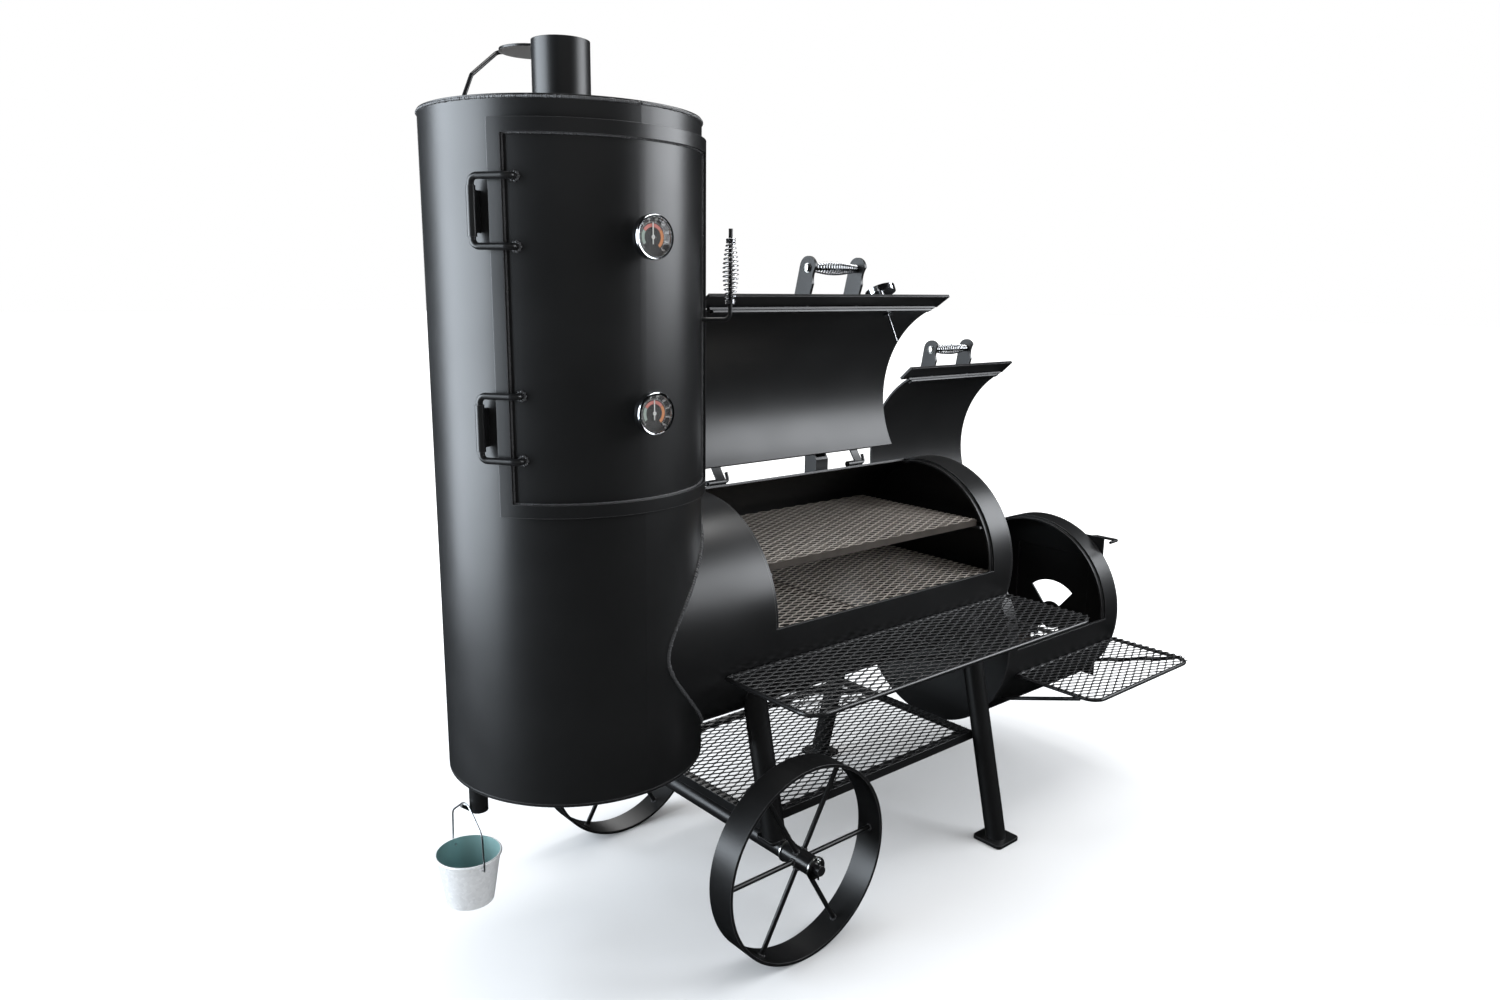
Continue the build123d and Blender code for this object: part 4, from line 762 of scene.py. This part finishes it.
def soft_light(name, place, target, size, power, tint):
    """A large rectangular light, as wide and tall as size, that points at target."""
    lamp = bpy.data.lights.new(name, "AREA")
    lamp.shape = "RECTANGLE"
    lamp.size, lamp.size_y = size
    lamp.energy = power
    lamp.color = tint
    light = bpy.data.objects.new(name, lamp)
    bpy.context.scene.collection.objects.link(light)
    light.location = place
    light.rotation_mode = "QUATERNION"
    light.rotation_quaternion = (Vector(target) - Vector(place)).to_track_quat("-Z", "Y")
    light.visible_camera = False


soft_light("left_back", (-3.6, 1.35, 1.7), (-0.8, 0.1, 1.3), (3.2, 3.2), 300, (0.84, 0.92, 1.0))
soft_light("right_high", (2.6, -2.2, 2.6), (-0.6, 0.0, 1.5), (2.8, 2.0), 150, (0.93, 0.96, 1.0))
soft_light("overhead", (0.6, 0.3, 4.6), (0.5, 0.0, 0.8), (3.0, 2.0), 150, (1.0, 1.0, 1.0))
soft_light("front_fill", (-2.4, -5.0, 3.4), (-0.4, 0.0, 0.8), (4.0, 2.0), 8, (1.0, 1.0, 1.0))
soft_light("back_fill", (1.8, 5.0, 2.6), (0.0, 0.0, 1.0), (3.0, 2.4), 60, (1.0, 1.0, 1.0))

# The camera stands at the front left, a little above the barrel, and looks slightly down.
DOWN = radians(11.61)
ROLL = radians(0.62)
EYE = Vector((CABINET_X - 1.228, CABINET_Y - 2.094, 1.636))
right = Vector((cos(AIM), -sin(AIM), 0))
forward = Vector((sin(AIM) * cos(DOWN), cos(AIM) * cos(DOWN), -sin(DOWN)))
up = right.cross(forward)
tilted_right = right * cos(ROLL) + up * sin(ROLL)
tilted_up = up * cos(ROLL) - right * sin(ROLL)
lens = bpy.data.cameras.new("camera")
lens.lens = 24.91
lens.sensor_width = 36.0
camera = bpy.data.objects.new("camera", lens)
bpy.context.scene.collection.objects.link(camera)
camera.matrix_world = Matrix((
    (tilted_right.x, tilted_up.x, -forward.x, EYE.x),
    (tilted_right.y, tilted_up.y, -forward.y, EYE.y),
    (tilted_right.z, tilted_up.z, -forward.z, EYE.z),
    (0, 0, 0, 1)))
bpy.context.scene.camera = camera
bpy.context.scene.view_settings.view_transform = "Standard"
